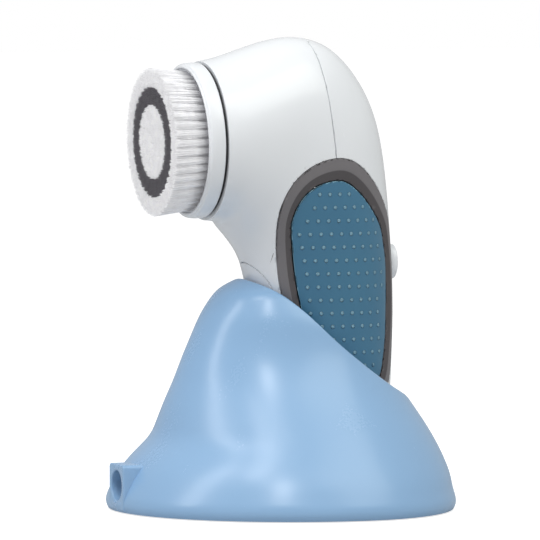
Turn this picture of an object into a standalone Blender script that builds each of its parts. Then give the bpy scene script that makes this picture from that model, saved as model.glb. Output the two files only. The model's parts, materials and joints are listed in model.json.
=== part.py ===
"""Rotary facial cleansing brush standing in its charging stand.

The object faces -Y, its plane of symmetry is X = 0 and it stands on Z = 0.
Sizes below are millimetres; meshes are written in metres.
Brush pieces are turned about their own +Z and hang from the "brush_axis" empty,
whose +Z points out of the head, so q in a profile is the distance outside the head.
"""

import math

import bmesh
import bpy
from mathutils import Matrix, Vector

MM = 0.001
GAP = 0.3  # clearance kept between neighbouring solids

# Handset: stations from the head down to the foot of the handle, each with the point
# on the outer (top and back) line, the point on the inner (underside and front) line,
# and the half width across X.
HANDSET_STATIONS = (
    # outer y, z, inner y, z, half width
    (-26.15, 138.3, -24.85, 89.3, 24.6),
    (-20.9, 139.4, -20.9, 88.7, 24.8),
    (-12.2, 142.1, -18.6, 86.3, 24.5),
    (-3.9, 144.5, -16.9, 84.1, 24.1),
    (5.0, 145.4, -15.6, 82.4, 23.6),
    (14.2, 142.8, -14.4, 80.7, 23.0),
    (22.2, 135.6, -13.3, 79.0, 22.5),
    (28.2, 125.6, -12.4, 77.3, 22.0),
    (31.6, 114.5, -11.6, 75.5, 21.4),
    (33.6, 101.0, -11.0, 73.6, 20.8),
    (34.9, 87.0, -10.4, 71.2, 20.2),
    (35.8, 72.0, -9.7, 67.5, 19.5),
    (36.1, 58.0, -8.2, 58.0, 18.7),
    (35.8, 45.0, -5.6, 45.0, 18.2),
    (35.1, 32.0, -2.6, 32.0, 17.6),
    (33.8, 20.5, 0.7, 20.5, 16.6),
    (32.2, 15.6, 3.2, 15.6, 14.9),
    (29.6, 13.4, 6.2, 13.4, 12.2),
    (26.4, 13.0, 9.4, 13.0, 9.0),
)
HEAD_ROUNDNESS = 2.0  # superellipse exponent of the head's section
GRIP_ROUNDNESS = 2.2  # the same for the handle
HANDSET_WALL = 2.2
HANDSET_RINGS_PER_STATION = 1
HANDSET_SIDES = 32
PARTING_TOP_Y = 6.8  # the parting plane crosses the top line here
PARTING_LEAN = 0.1  # and leans back by this much for each millimetre down
TOP_Z = 145.4

# Brush axis
HEAD_CENTRE = (0.0, -25.5, 114.0)
HEAD_TILT = math.radians(1.5)  # the axis points down by this much
NOSE_RADIUS = 21.7
RIM_RADIUS = 24.0
RIM_BACK = 1.0
RIM_FRONT = 6.0
CARRIER_FACE = 5.2
BRISTLE_FACE = 16.5
OUTER_TUFT_RADIUS = 22.6
GREY_OUTER_RADIUS = 16.7
GREY_INNER_RADIUS = 10.7
SHAFT_RADIUS = 2.2
DRIVE_TEETH = 28
PINION_TEETH = 8
GEAR_MODULE = 0.5
GEAR_FRONT = -3.4
GEAR_BACK = -6.6
PILLAR_CIRCLE = 16.5
MOTOR_RADIUS = 9.5
MOTOR_LENGTH = 24.0
MOTOR_FRONT = -9.7
MOTOR_WALL = 1.0
MOTOR_SHAFT_RADIUS = 1.0
ARMATURE_RADIUS = 7.6
ARMATURE_END_ROOM = 1.8  # from the armature's ends to the inside of the can

# Grips: the outline of the frame seen along X, and what is set into it
GRIP_OUTLINE = (
    (12.0, 108.6), (1.6, 105.8), (-5.0, 98.8), (-7.2, 90.5), (-6.8, 82.0), (-5.4, 72.0),
    (-3.3, 62.0), (-0.4, 50.0), (3.0, 39.5), (8.6, 31.4), (16.5, 28.2), (25.0, 30.4),
    (30.6, 36.0), (33.4, 42.5), (34.9, 50.0), (37.0, 60.0), (37.0, 72.0), (34.7, 80.0),
    (32.8, 87.5), (29.0, 95.2), (24.4, 101.4), (18.8, 106.4),
)
GRIP_INSET = 4.0  # width of the frame's band at its sides
GRIP_TOP_INSET = 6.8  # and at its top
GRIP_SPINE = 6.5  # half width of the bare strip down the back
GRIP_DEPTH = 1.4
PAD_DROP = 0.6

# Lower front cover
COVER_TOP_Z = 76.0
COVER_FOOT_Z = 20.0
COVER_HALF_WIDTH = 11.0
COVER_DEPTH = 1.2

# Power button in the back of the handle
BUTTON_Z = 75.5
BUTTON_HALF_WIDTH = 4.6
BUTTON_HALF_HEIGHT = 5.4
BUTTON_FACE_Y = 38.2
BUTTON_BACK_Y = 34.2
BUTTON_TRAVEL = 0.8

# Stand: horizontal sections, from the foot up
STAND_LEVELS = (
    # z, front y, back y, half width, y of the widest place
    (0.4, -53.0, 53.0, 55.5, 7.5),
    (1.4, -53.5, 53.5, 56.0, 7.5),
    (6.0, -52.8, 53.1, 55.0, 7.5),
    (10.5, -50.4, 52.3, 52.6, 7.5),
    (15.0, -47.2, 50.9, 49.5, 7.5),
    (18.6, -43.7, 49.4, 46.7, 7.5),
    (22.0, -40.5, 47.7, 44.0, 7.5),
    (27.0, -38.2, 44.8, 39.9, 7.5),
    (34.0, -35.8, 40.2, 34.2, 7.2),
    (40.0, -33.4, 36.6, 29.8, 6.6),
    (46.0, -31.2, 33.4, 26.2, 5.6),
    (54.0, -27.8, 29.0, 23.2, 4.0),
    (60.0, -24.9, 24.0, 21.2, 1.5),
    (65.0, -21.6, 17.0, 18.2, -1.5),
    (68.6, -17.9, 8.0, 13.6, -4.5),
    (71.4, -12.9, -6.0, 4.0, -9.5),
)
STAND_SIDES = 44
STAND_WALL = 2.4
# Line that cuts the stand's top, seen from the side, from crest to back lip
RIM_LINE = (
    (-60.0, 90.0), (-30.0, 80.0), (-12.6, 71.2), (-6.6, 67.9), (0.0, 62.5),
    (8.9, 53.9), (19.1, 45.4), (30.1, 38.0), (39.5, 34.0), (60.0, 26.0),
)
WELL_CLEARANCE = 0.8
CRADLE_WALL = 1.3
CRADLE_FLOOR_DROP = 2.6  # from the handset's foot to the underside of the cradle's floor

# Charging inlet in the front of the stand
INLET_HALF_WIDTH = 6.5
INLET_TOP_Z = 15.0
INLET_FACE_Y = -53.5
INLET_BORE_RADIUS = 4.6
INLET_BORE_Z = 8.5

# Underside of the stand
PLATE_BOTTOM_Z = 1.0
PLATE_TOP_Z = 3.0
POST_X = 20.0
POST_FRONT_Y = -33.0
POST_BACK_Y = 40.0
FOOT_X = 35.0
FOOT_FRONT_Y = -25.0
FOOT_BACK_Y = 27.0
FOOT_RADIUS = 5.0
FOOT_HEIGHT = 1.6

PLAIN = {
    # colour, roughness, metallic
    "stand_blue": ((0.24, 0.45, 0.69), 0.38, 0.0),
    "shell_white": ((0.80, 0.83, 0.88), 0.30, 0.0),
    "grip_grey": ((0.16, 0.15, 0.17), 0.50, 0.0),
    "pad_blue": ((0.06, 0.21, 0.33), 0.62, 0.0),
    "bristle_white": ((0.82, 0.82, 0.86), 0.60, 0.0),
    "bristle_grey": ((0.12, 0.11, 0.13), 0.65, 0.0),
    "nose_grey": ((0.08, 0.08, 0.09), 0.50, 0.0),
    "rubber": ((0.02, 0.02, 0.02), 0.80, 0.0),
    "steel": ((0.62, 0.62, 0.64), 0.30, 1.0),
    "bronze": ((0.52, 0.35, 0.16), 0.40, 1.0),
    "board_green": ((0.02, 0.16, 0.07), 0.50, 0.0),
    "copper": ((0.72, 0.32, 0.14), 0.35, 1.0),
    "gear_nylon": ((0.86, 0.84, 0.78), 0.50, 0.0),
    "cell_sleeve": ((0.10, 0.22, 0.14), 0.45, 0.0),
    "black_plastic": ((0.03, 0.03, 0.03), 0.55, 0.0),
}


# ---------------------------------------------------------------- scene helpers
def clear_scene():
    for old in list(bpy.data.objects):
        bpy.data.objects.remove(old, do_unlink=True)


def new_collection(name):
    made = bpy.data.collections.new(name)
    bpy.context.scene.collection.children.link(made)
    return made


def finish(kind):
    """The material of that kind, made on its first use."""
    found = bpy.data.materials.get(kind)
    if found:
        return found
    colour, roughness, metallic = PLAIN[kind]
    made = bpy.data.materials.new(kind)
    made.use_nodes = True
    shader = made.node_tree.nodes["Principled BSDF"]
    shader.inputs["Base Color"].default_value = (*colour, 1.0)
    shader.inputs["Roughness"].default_value = roughness
    shader.inputs["Metallic"].default_value = metallic
    return made


def link(name, mesh, collection, kind=None):
    made = bpy.data.objects.new(name, mesh)
    collection.objects.link(made)
    if kind:
        made.data.materials.append(finish(kind))
    else:
        made.hide_render = True
        made.display_type = "WIRE"
    return made


def mesh_from(name, bm):
    """A mesh in metres from a bmesh in millimetres."""
    bmesh.ops.recalc_face_normals(bm, faces=bm.faces)
    if bm.calc_volume(signed=True) < 0:
        bmesh.ops.reverse_faces(bm, faces=bm.faces)
    bmesh.ops.scale(bm, vec=(MM, MM, MM), verts=bm.verts)
    mesh = bpy.data.meshes.new(name)
    bm.to_mesh(mesh)
    bm.free()
    mesh.shade_smooth()
    mesh.set_sharp_from_angle(angle=math.radians(35))
    return mesh


def boolean(target, cutter, operation="DIFFERENCE"):
    step = target.modifiers.new(operation.lower(), "BOOLEAN")
    step.operation = operation
    step.object = cutter
    step.solver = "EXACT"


# ---------------------------------------------------------------- shape helpers
def along(rows, place):
    """The row at a fractional place in a list of rows, on a smooth curve through them."""
    last = len(rows) - 1
    i = min(int(place), last - 1)
    t = place - i
    before, here = rows[max(i - 1, 0)], rows[i]
    there, after = rows[i + 1], rows[min(i + 2, last)]
    values = []
    for p, a, b, n in zip(before, here, there, after):
        tangent_a = (b - p) / 2 if i > 0 else b - a
        tangent_b = (n - a) / 2 if i + 2 <= last else b - a
        values.append(
            a * (2 * t**3 - 3 * t**2 + 1)
            + tangent_a * (t**3 - 2 * t**2 + t)
            + b * (3 * t**2 - 2 * t**3)
            + tangent_b * (t**3 - t**2)
        )
    return values


def smooth_loop(points, per_span):
    """Points on a closed smooth curve through the given ones."""
    count = len(points)
    rows = [points[(i - 1) % count] for i in range(count + 3)]
    return [
        along(rows, 1 + k / per_span) for k in range(count * per_span)
    ]


def inset_loop(points, distance, top_distance=None):
    """A closed outline moved inwards along its own normals. The distance can grow
    towards the top of the outline."""
    low, high = min(z for _, z in points), max(z for _, z in points)
    top_distance = distance if top_distance is None else top_distance
    count = len(points)
    area = sum(
        points[i][0] * points[(i + 1) % count][1] - points[(i + 1) % count][0] * points[i][1]
        for i in range(count)
    )
    side = 1.0 if area > 0 else -1.0
    moved = []
    for i, (y, z) in enumerate(points):
        before, after = points[i - 1], points[(i + 1) % count]
        dy, dz = after[0] - before[0], after[1] - before[1]
        length = math.hypot(dy, dz)
        near_top = max((z - low) / (high - low) - 0.75, 0.0) / 0.25
        depth = distance + (top_distance - distance) * near_top
        moved.append((y - side * dz / length * depth, z + side * dy / length * depth))
    return moved


def signed_power(value, power):
    return math.copysign(abs(value) ** power, value)


def loft(rings):
    """A closed bmesh through rings of points, with flat ends."""
    bm = bmesh.new()
    rows = [[bm.verts.new(point) for point in ring] for ring in rings]
    sides = len(rows[0])
    for lower, upper in zip(rows, rows[1:]):
        for i in range(sides):
            j = (i + 1) % sides
            bm.faces.new((lower[i], lower[j], upper[j], upper[i]))
    bm.faces.new(rows[0])
    bm.faces.new(rows[-1])
    return bm


def handset_ring(place, grow):
    """One section of the handset, moved outwards by grow."""
    outer_y, outer_z, inner_y, inner_z, half_width = along(HANDSET_STATIONS, place)
    centre = Vector((0, (outer_y + inner_y) / 2, (outer_z + inner_z) / 2))
    across = Vector((0, outer_y - inner_y, outer_z - inner_z))
    half_depth = across.length / 2 + grow
    across.normalize()
    blend = min(max((place - 1) / 8, 0.0), 1.0)
    power = 2 / (HEAD_ROUNDNESS + (GRIP_ROUNDNESS - HEAD_ROUNDNESS) * blend)
    ring = []
    for i in range(HANDSET_SIDES):
        angle = math.tau * (i + 0.5) / HANDSET_SIDES
        depth = -half_depth * signed_power(math.cos(angle), power)
        width = (half_width + grow) * signed_power(math.sin(angle), power)
        ring.append(centre + across * depth + Vector((width, 0, 0)))
    return ring


def handset_body(grow, head_reach=0.0, foot_drop=0.0):
    """The handset's outer form, moved outwards by grow. The head end can be drawn out
    along the brush axis by head_reach and the foot can be lowered by foot_drop."""
    last = len(HANDSET_STATIONS) - 1
    steps = last * HANDSET_RINGS_PER_STATION
    rings = [handset_ring(i / HANDSET_RINGS_PER_STATION, grow) for i in range(steps + 1)]
    outwards = Vector((0, -math.cos(HEAD_TILT), -math.sin(HEAD_TILT)))
    if head_reach:
        rings.insert(0, [point + outwards * head_reach for point in rings[0]])
    if foot_drop:
        rings.append([point - Vector((0, 0, foot_drop)) for point in rings[-1]])
    return loft(rings)


def level_at(z):
    """Front, back and half width of the stand at a height."""
    for i, (low, high) in enumerate(zip(STAND_LEVELS, STAND_LEVELS[1:])):
        if z <= high[0]:
            break
    return along(STAND_LEVELS, i + (z - low[0]) / (high[0] - low[0]))


def stand_ring(row, grow):
    z, front, back, half_width, widest = row
    ring = []
    for i in range(STAND_SIDES):
        angle = math.tau * (i + 0.5) / STAND_SIDES
        ahead = math.cos(angle)
        reach = (widest - front if ahead > 0 else back - widest) + grow
        ring.append(Vector(((half_width + grow) * math.sin(angle), widest - reach * ahead, z)))
    return ring


def stand_body(grow, open_below=False):
    rows = [list(row) for row in STAND_LEVELS]
    if open_below:
        rows[0] = [-5.0, *rows[1][1:]]
        rows = [row for row in rows if row[2] - row[1] + 2 * grow > 4]
        rows = [row for row in rows if row[3] + grow > 2]
    return loft([stand_ring(row, grow) for row in rows])


def prism(outline, low, high):
    """An outline in Y and Z, drawn out along X from low to high."""
    bm = bmesh.new()
    face = bm.faces.new([bm.verts.new((low, y, z)) for y, z in outline])
    drawn = bmesh.ops.extrude_face_region(bm, geom=[face])
    moved = [v for v in drawn["geom"] if isinstance(v, bmesh.types.BMVert)]
    bmesh.ops.translate(bm, vec=(high - low, 0, 0), verts=moved)
    return bm


def box(low, high):
    bm = bmesh.new()
    bmesh.ops.create_cube(bm, size=1.0)
    low, high = Vector(low), Vector(high)
    bmesh.ops.scale(bm, vec=high - low, verts=bm.verts)
    bmesh.ops.translate(bm, vec=(low + high) / 2, verts=bm.verts)
    return bm


def rod(radius, start, end, sides=24, end_radius=None):
    """A cylinder or cone between two points."""
    start, end = Vector(start), Vector(end)
    bm = bmesh.new()
    bmesh.ops.create_cone(
        bm, cap_ends=True, segments=sides, radius1=radius,
        radius2=radius if end_radius is None else end_radius, depth=(end - start).length,
    )
    turn = (end - start).to_track_quat("Z", "Y").to_matrix().to_4x4()
    bmesh.ops.transform(bm, matrix=Matrix.Translation((start + end) / 2) @ turn, verts=bm.verts)
    return bm


def rounded(bm, width, segments=2):
    """Bevels every edge of a block or a rod."""
    sharp = [e for e in bm.edges if e.calc_face_angle(0) > math.radians(40)]
    bmesh.ops.bevel(
        bm, geom=sharp, offset=width, segments=segments, profile=0.5,
        affect="EDGES", clamp_overlap=True,
    )
    return bm


def turned(name, profile, kind, collection, parent, sides=32, closed=True, place=(0, 0, 0)):
    """A piece turned about its +Z. The profile gives radius and height and runs down
    its outer side; a profile that is not closed starts and ends on the axis."""
    mesh = bpy.data.meshes.new(name)
    points = [(radius * MM, 0, height * MM) for radius, height in profile]
    edges = [(i, i + 1) for i in range(len(points) - 1)]
    if closed:
        edges.append((len(points) - 1, 0))
    mesh.from_pydata(points, edges, [])
    made = link(name, mesh, collection, kind)
    made.parent = parent
    made.location = [value * MM for value in place]
    spin = made.modifiers.new("turn", "SCREW")
    spin.steps = sides
    spin.render_steps = sides
    spin.use_merge_vertices = True
    spin.merge_threshold = 0.00001
    spin.use_smooth_shade = True
    return made


def gear_bmesh(teeth, low, high, phase):
    """A spur gear about +Z, with straight-sided teeth that leave backlash. A tooth is
    centred on +X turned by the phase, in tooth pitches."""
    pitch = teeth * GEAR_MODULE / 2
    tip, root = pitch + 0.75 * GEAR_MODULE, pitch - GEAR_MODULE
    outline = []
    for tooth in range(teeth):
        for share, radius in ((-0.35, root), (-0.08, tip), (0.08, tip), (0.35, root)):
            angle = math.tau * (tooth + share + phase) / teeth
            outline.append((radius * math.cos(angle), radius * math.sin(angle)))
    bm = bmesh.new()
    face = bm.faces.new([bm.verts.new((x, y, low)) for x, y in outline])
    drawn = bmesh.ops.extrude_face_region(bm, geom=[face])
    moved = [v for v in drawn["geom"] if isinstance(v, bmesh.types.BMVert)]
    bmesh.ops.translate(bm, vec=(0, 0, high - low), verts=moved)
    return bm


# ---------------------------------------------------------------- the object
class Workshop:
    """The collections, the brush axis and the cutters that several pieces share."""

    def __init__(self):
        self.parts = new_collection("facial_cleansing_brush")
        self.tools = new_collection("cutters")
        self.axis = bpy.data.objects.new("brush_axis", None)
        self.parts.objects.link(self.axis)
        self.axis.location = [value * MM for value in HEAD_CENTRE]
        self.axis.rotation_euler = (math.pi / 2 + HEAD_TILT, 0, 0)

    def piece(self, name, bm, kind, on_axis=False, place=(0, 0, 0)):
        made = link(name, mesh_from(name, bm), self.parts, kind)
        if on_axis:
            made.parent = self.axis
            made.location = [value * MM for value in place]
        return made

    def cutter(self, name, bm, on_axis=False, place=(0, 0, 0)):
        made = link("cut_" + name, mesh_from(name, bm), self.tools)
        if on_axis:
            made.parent = self.axis
            made.location = [value * MM for value in place]
        return made

    def turned(self, name, profile, kind, sides=32, closed=True, place=(0, 0, 0)):
        return turned(name, profile, kind, self.parts, self.axis, sides, closed, place)


def parting_block(front):
    """A block on one side of the parting plane."""
    reach, low_z, high_z = 90.0, -20.0, 200.0
    shift = -GAP / 2 if front else GAP / 2
    top_y = PARTING_TOP_Y - (high_z - TOP_Z) * PARTING_LEAN + shift
    low_y = PARTING_TOP_Y + (TOP_Z - low_z) * PARTING_LEAN + shift
    far = -reach if front else reach
    return prism([(low_y, low_z), (top_y, high_z), (far, high_z), (far, low_z)], -60, 60)


def cover_outline(inset):
    """The lower front cover seen from the front, with a round top."""
    half = COVER_HALF_WIDTH - inset
    top = COVER_TOP_Z - inset
    arch = [
        (half * math.cos(math.pi * i / 12), top - half * 0.8 + half * 0.8 * math.sin(math.pi * i / 12))
        for i in range(13)
    ]
    foot = COVER_FOOT_Z + inset
    return arch + [(-half * 0.85, foot), (half * 0.85, foot)]


def front_prism(outline, low_y, high_y):
    """An outline in X and Z, drawn out along Y."""
    bm = prism(outline, low_y, high_y)
    for vert in bm.verts:
        vert.co = Vector((vert.co.y, vert.co.x, vert.co.z))
    return bm


def build_housings(shop):
    grip = smooth_loop(GRIP_OUTLINE, 3)
    cavity = shop.cutter("cavity", handset_body(-HANDSET_WALL, head_reach=6))
    recess_floor = shop.cutter("recess_floor", handset_body(-GRIP_DEPTH - GAP))
    recesses = []
    for side, sign in (("right", 1), ("left", -1)):
        edges = sorted((sign * (GRIP_SPINE - GAP), sign * 60))
        recess = shop.cutter("recess_" + side, prism(inset_loop(grip, -GAP), *edges))
        boolean(recess, recess_floor)
        recesses.append(recess)
    cover_floor = shop.cutter("cover_floor", handset_body(-COVER_DEPTH - GAP))
    cover_recess = shop.cutter("cover_recess", front_prism(cover_outline(-GAP), -30, 12))
    boolean(cover_recess, cover_floor)
    button_hole = shop.cutter("button_hole", button_block(GAP, 25, 45))
    for name, front in (("front_housing", True), ("rear_housing", False)):
        shell = shop.piece(name, handset_body(0), "shell_white")
        keep = shop.cutter(name + "_side", parting_block(front))
        boolean(shell, keep, "INTERSECT")
        boolean(shell, cavity)
        for recess in recesses:
            boolean(shell, recess)
        if front:
            boolean(shell, cover_recess)
        else:
            boolean(shell, button_hole)


def build_grips(shop):
    outline = smooth_loop(GRIP_OUTLINE, 3)
    inner = inset_loop(outline, GRIP_INSET, GRIP_TOP_INSET)
    band_floor = shop.cutter("band_floor", handset_body(-GRIP_DEPTH))
    for side, sign in (("right", 1), ("left", -1)):
        outer_edges = sorted((sign * GRIP_SPINE, sign * 60))
        inner_edges = sorted((sign * (GRIP_SPINE + GRIP_INSET * 0.6), sign * 60))
        pad_edges = sorted((sign * (GRIP_SPINE + GRIP_INSET * 0.6 + GAP), sign * 60))
        window = shop.cutter("window_" + side, prism(inner, *inner_edges))
        frame_shape = shop.cutter("frame_shape_" + side, prism(outline, *outer_edges))
        frame = shop.piece("grip_frame_" + side, handset_body(0), "grip_grey")
        boolean(frame, frame_shape, "INTERSECT")
        boolean(frame, band_floor)
        boolean(frame, window)
        pad_shape = shop.cutter("pad_shape_" + side, prism(inset_loop(inner, GAP), *pad_edges))
        pad = shop.piece("grip_pad_" + side, handset_body(-PAD_DROP), "pad_blue")
        boolean(pad, pad_shape, "INTERSECT")
        boolean(pad, band_floor)


def build_front_cover(shop):
    cover = shop.piece("front_cover", handset_body(0), "shell_white")
    floor = shop.cutter("cover_back", handset_body(-COVER_DEPTH))
    shape = shop.cutter("cover_shape", front_prism(cover_outline(0), -30, 12))
    boolean(cover, shape, "INTERSECT")
    boolean(cover, floor)


def button_block(grow, low_y, high_y, sides=28):
    """An oval block through the back of the handle."""
    bm = rod(1.0, (0, low_y, BUTTON_Z), (0, high_y, BUTTON_Z), sides)
    centre = Vector((0, 0, BUTTON_Z))
    for vert in bm.verts:
        offset = vert.co - centre
        vert.co.x = offset.x * (BUTTON_HALF_WIDTH + grow)
        vert.co.z = BUTTON_Z + offset.z * (BUTTON_HALF_HEIGHT + grow)
    return bm


def build_button(shop):
    cap = button_block(0, BUTTON_BACK_Y, BUTTON_FACE_Y)
    face = [f for f in cap.faces if f.normal.y > 0.9]
    rim = {edge for f in face for edge in f.edges}
    bmesh.ops.bevel(
        cap, geom=list(rim), offset=1.3, segments=3, profile=0.5, affect="EDGES",
    )
    button = shop.piece("power_button", cap, "shell_white")
    stem = shop.cutter("button_stem", rod(1.6, (0, 33.0, BUTTON_Z), (0, 35.4, BUTTON_Z), 16))
    boolean(button, stem, "UNION")
    seal = shop.piece(
        "button_seal", rod(4.0, (0, 32.1, BUTTON_Z), (0, 32.6, BUTTON_Z), 24), "rubber"
    )
    bore = shop.cutter("seal_bore", rod(2.0, (0, 31, BUTTON_Z), (0, 34, BUTTON_Z), 16))
    boolean(seal, bore)


def build_drive(shop):
    """Nose plate, gear plate, motor, bushes and seal, fixed inside the head."""
    nose = shop.turned(
        "nose_plate",
        [(21.0, -0.2), (NOSE_RADIUS, -0.6), (NOSE_RADIUS, -2.6), (6.3, -2.6), (6.3, -0.2)],
        "nose_grey", 32,
    )
    plate = shop.piece("gear_plate", rod(20.5, (0, 0, -9.4), (0, 0, -7.4), 36), "black_plastic", True)
    pillars = [
        (
            PILLAR_CIRCLE * math.cos(math.tau * (i / 3 - 1 / 12)),
            PILLAR_CIRCLE * math.sin(math.tau * (i / 3 - 1 / 12)),
        )
        for i in range(3)
    ]
    for i, (x, y) in enumerate(pillars):
        pillar = shop.cutter(f"pillar_{i}", rod(2.6, (x, y, -8.0), (x, y, -2.6 - GAP), 16), True)
        boolean(plate, pillar, "UNION")
    for i, (x, y) in enumerate(pillars):
        thread = shop.cutter(f"thread_{i}", rod(1.3, (x, y, -6.8), (x, y, 2), 12), True)
        boolean(plate, thread)
        boolean(nose, thread)
        shop.turned(
            f"nose_screw_{i + 1}",
            [(0, 0.7), (1.6, 0.7), (1.9, 0.3), (1.9, 0.1), (1.0, 0.1), (1.0, -6.5), (0, -6.5)],
            "steel", 16, closed=False, place=(x, y, 0),
        )
    offset = (DRIVE_TEETH + PINION_TEETH) * GEAR_MODULE / 2
    bush_bore = shop.cutter("bush_bore", rod(5.6, (0, 0, -12), (0, 0, -6), 24), True)
    shaft_hole = shop.cutter(
        "shaft_hole", rod(1.6, (0, offset, -12), (0, offset, -6), 16), True
    )
    boolean(plate, bush_bore)
    boolean(plate, shaft_hole)
    for name, high, low in (("front_bush", -0.2, -2.9), ("rear_bush", -6.9, -9.4)):
        radius = 6.0 if name == "front_bush" else 5.3
        shop.turned(
            name,
            [(radius, high), (radius, low), (SHAFT_RADIUS + GAP, low), (SHAFT_RADIUS + GAP, high)],
            "bronze", 24,
        )
    shop.turned(
        "spindle_seal",
        [(5.4, 0.7), (5.4, 0.1), (SHAFT_RADIUS + GAP, 0.1), (SHAFT_RADIUS + GAP, 0.7)],
        "rubber", 24,
    )
    front, back = MOTOR_FRONT, MOTOR_FRONT - MOTOR_LENGTH
    inner, eye, edge = MOTOR_RADIUS - MOTOR_WALL, MOTOR_SHAFT_RADIUS + GAP + 0.1, 0.8
    shop.turned(
        "motor_can",
        [
            (0, back + MOTOR_WALL), (inner, back + MOTOR_WALL), (inner, front - MOTOR_WALL),
            (eye, front - MOTOR_WALL), (eye, front), (MOTOR_RADIUS - edge, front),
            (MOTOR_RADIUS, front - edge), (MOTOR_RADIUS, back + edge), (MOTOR_RADIUS - edge, back),
            (0, back),
        ],
        "steel", 28, closed=False, place=(0, offset, 0),
    )


def build_spindle(shop):
    shaft = shop.piece(
        "spindle_shaft", rod(SHAFT_RADIUS, (0, 0, -9.4), (0, 0, 2.0), 20), "steel", True
    )
    head = rod(3.9, (0, 0, 1.4), (0, 0, 4.7), 20)
    for vert in head.verts:
        vert.co.x = max(min(vert.co.x, 3.0), -3.0)
    key = shop.cutter("drive_key", head, True)
    boolean(shaft, key, "UNION")
    gear = shop.piece(
        "drive_gear", gear_bmesh(DRIVE_TEETH, GEAR_BACK, GEAR_FRONT, 0.0),
        "gear_nylon", True,
    )
    bore = shop.cutter("gear_bore", rod(SHAFT_RADIUS + GAP, (0, 0, -9), (0, 0, -1), 20), True)
    boolean(gear, bore)


def build_pinion(shop):
    offset = (DRIVE_TEETH + PINION_TEETH) * GEAR_MODULE / 2
    pinion = shop.piece(
        "motor_pinion", gear_bmesh(PINION_TEETH, GEAR_BACK, GEAR_FRONT, 0.5),
        "bronze", True, place=(0, offset, 0),
    )
    shaft = shop.cutter(
        "pinion_shaft", rod(MOTOR_SHAFT_RADIUS, (0, offset, -11.2), (0, offset, -5), 16), True
    )
    boolean(pinion, shaft, "UNION")
    high = MOTOR_FRONT - MOTOR_WALL - ARMATURE_END_ROOM
    low = MOTOR_FRONT - MOTOR_LENGTH + MOTOR_WALL + ARMATURE_END_ROOM
    shop.turned(
        "motor_armature",
        [
            (0, -11.2 - GAP), (MOTOR_SHAFT_RADIUS, -11.2 - GAP), (MOTOR_SHAFT_RADIUS, high),
            (ARMATURE_RADIUS, high), (ARMATURE_RADIUS, low), (MOTOR_SHAFT_RADIUS, low),
            (MOTOR_SHAFT_RADIUS, low - 1.0), (0, low - 1.0),
        ],
        "steel", 24, closed=False, place=(0, offset, 0),
    )


def build_brush(shop):
    hub = shop.turned(
        "brush_hub",
        [
            (0, CARRIER_FACE), (22.2, CARRIER_FACE), (22.5, RIM_FRONT), (RIM_RADIUS - 0.7, RIM_FRONT),
            (RIM_RADIUS, RIM_FRONT - 0.8), (RIM_RADIUS, RIM_BACK + 0.8),
            (RIM_RADIUS - 0.8, RIM_BACK), (0, RIM_BACK),
        ],
        "shell_white", 48, closed=False,
    )
    socket = rod(4.2, (0, 0, -1), (0, 0, CARRIER_FACE - 0.5), 20)
    for vert in socket.verts:
        vert.co.x = max(min(vert.co.x, 3.3), -3.3)
    boolean(hub, shop.cutter("drive_socket", socket, True))
    root, face = CARRIER_FACE + GAP, BRISTLE_FACE
    rings = (
        ("outer_bristles", OUTER_TUFT_RADIUS, GREY_OUTER_RADIUS, "bristle_white"),
        ("grey_bristles", GREY_OUTER_RADIUS - GAP, GREY_INNER_RADIUS, "bristle_grey"),
    )
    for name, outer, inner, kind in rings:
        foot = min(outer, 21.8)
        shop.turned(
            name, [(outer - 0.3, face), (outer, face - 0.5), (foot, root), (inner, root), (inner, face)],
            kind, 48,
        )
    core = GREY_INNER_RADIUS - GAP
    shop.turned(
        "inner_bristles", [(0, face), (core - 0.3, face), (core, face - 0.4), (core, root), (0, root)],
        "bristle_white", 32, closed=False,
    )


def build_electronics(shop):
    shop.piece("battery_cell", rounded(rod(7.0, (0, 17.0, 21.0), (0, 15.6, 69.0), 24), 0.8), "cell_sleeve")
    shop.piece("main_board", box((-8.2, 26.8, 38.0), (8.2, 28.4, 90.0)), "board_green")
    shop.piece(
        "tact_switch", rounded(box((-3, 28.7, BUTTON_Z - 3), (3, 31.8, BUTTON_Z + 3)), 0.4, 1),
        "black_plastic",
    )
    coil = shop.piece("receive_coil", rod(9.0, (0, 17.9, 16.2), (0, 17.9, 17.8), 28), "copper")
    eye = shop.cutter("coil_eye", rod(4.5, (0, 17.9, 12), (0, 17.9, 22), 20))
    boolean(coil, eye)
    coil = shop.piece("transmit_coil", rod(9.0, (0, 17.9, 7.6), (0, 17.9, 9.4), 28), "copper")
    eye = shop.cutter("transmit_eye", rod(4.5, (0, 17.9, 5), (0, 17.9, 12), 20))
    boolean(coil, eye)
    shop.piece("charge_board", box((-14, -6.0, 3.6), (14, 30.0, 5.2)), "board_green")


def rim_cutter(drop):
    """Everything above the line of the stand's top, lowered by drop."""
    line = []
    last = len(RIM_LINE) - 1
    for i in range(last * 3 + 1):
        y, z = along(RIM_LINE, i / 3)
        line.append((y, z - drop))
    return prism(line + [(60.0, 200.0), (-60.0, 200.0)], -80, 80)


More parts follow.
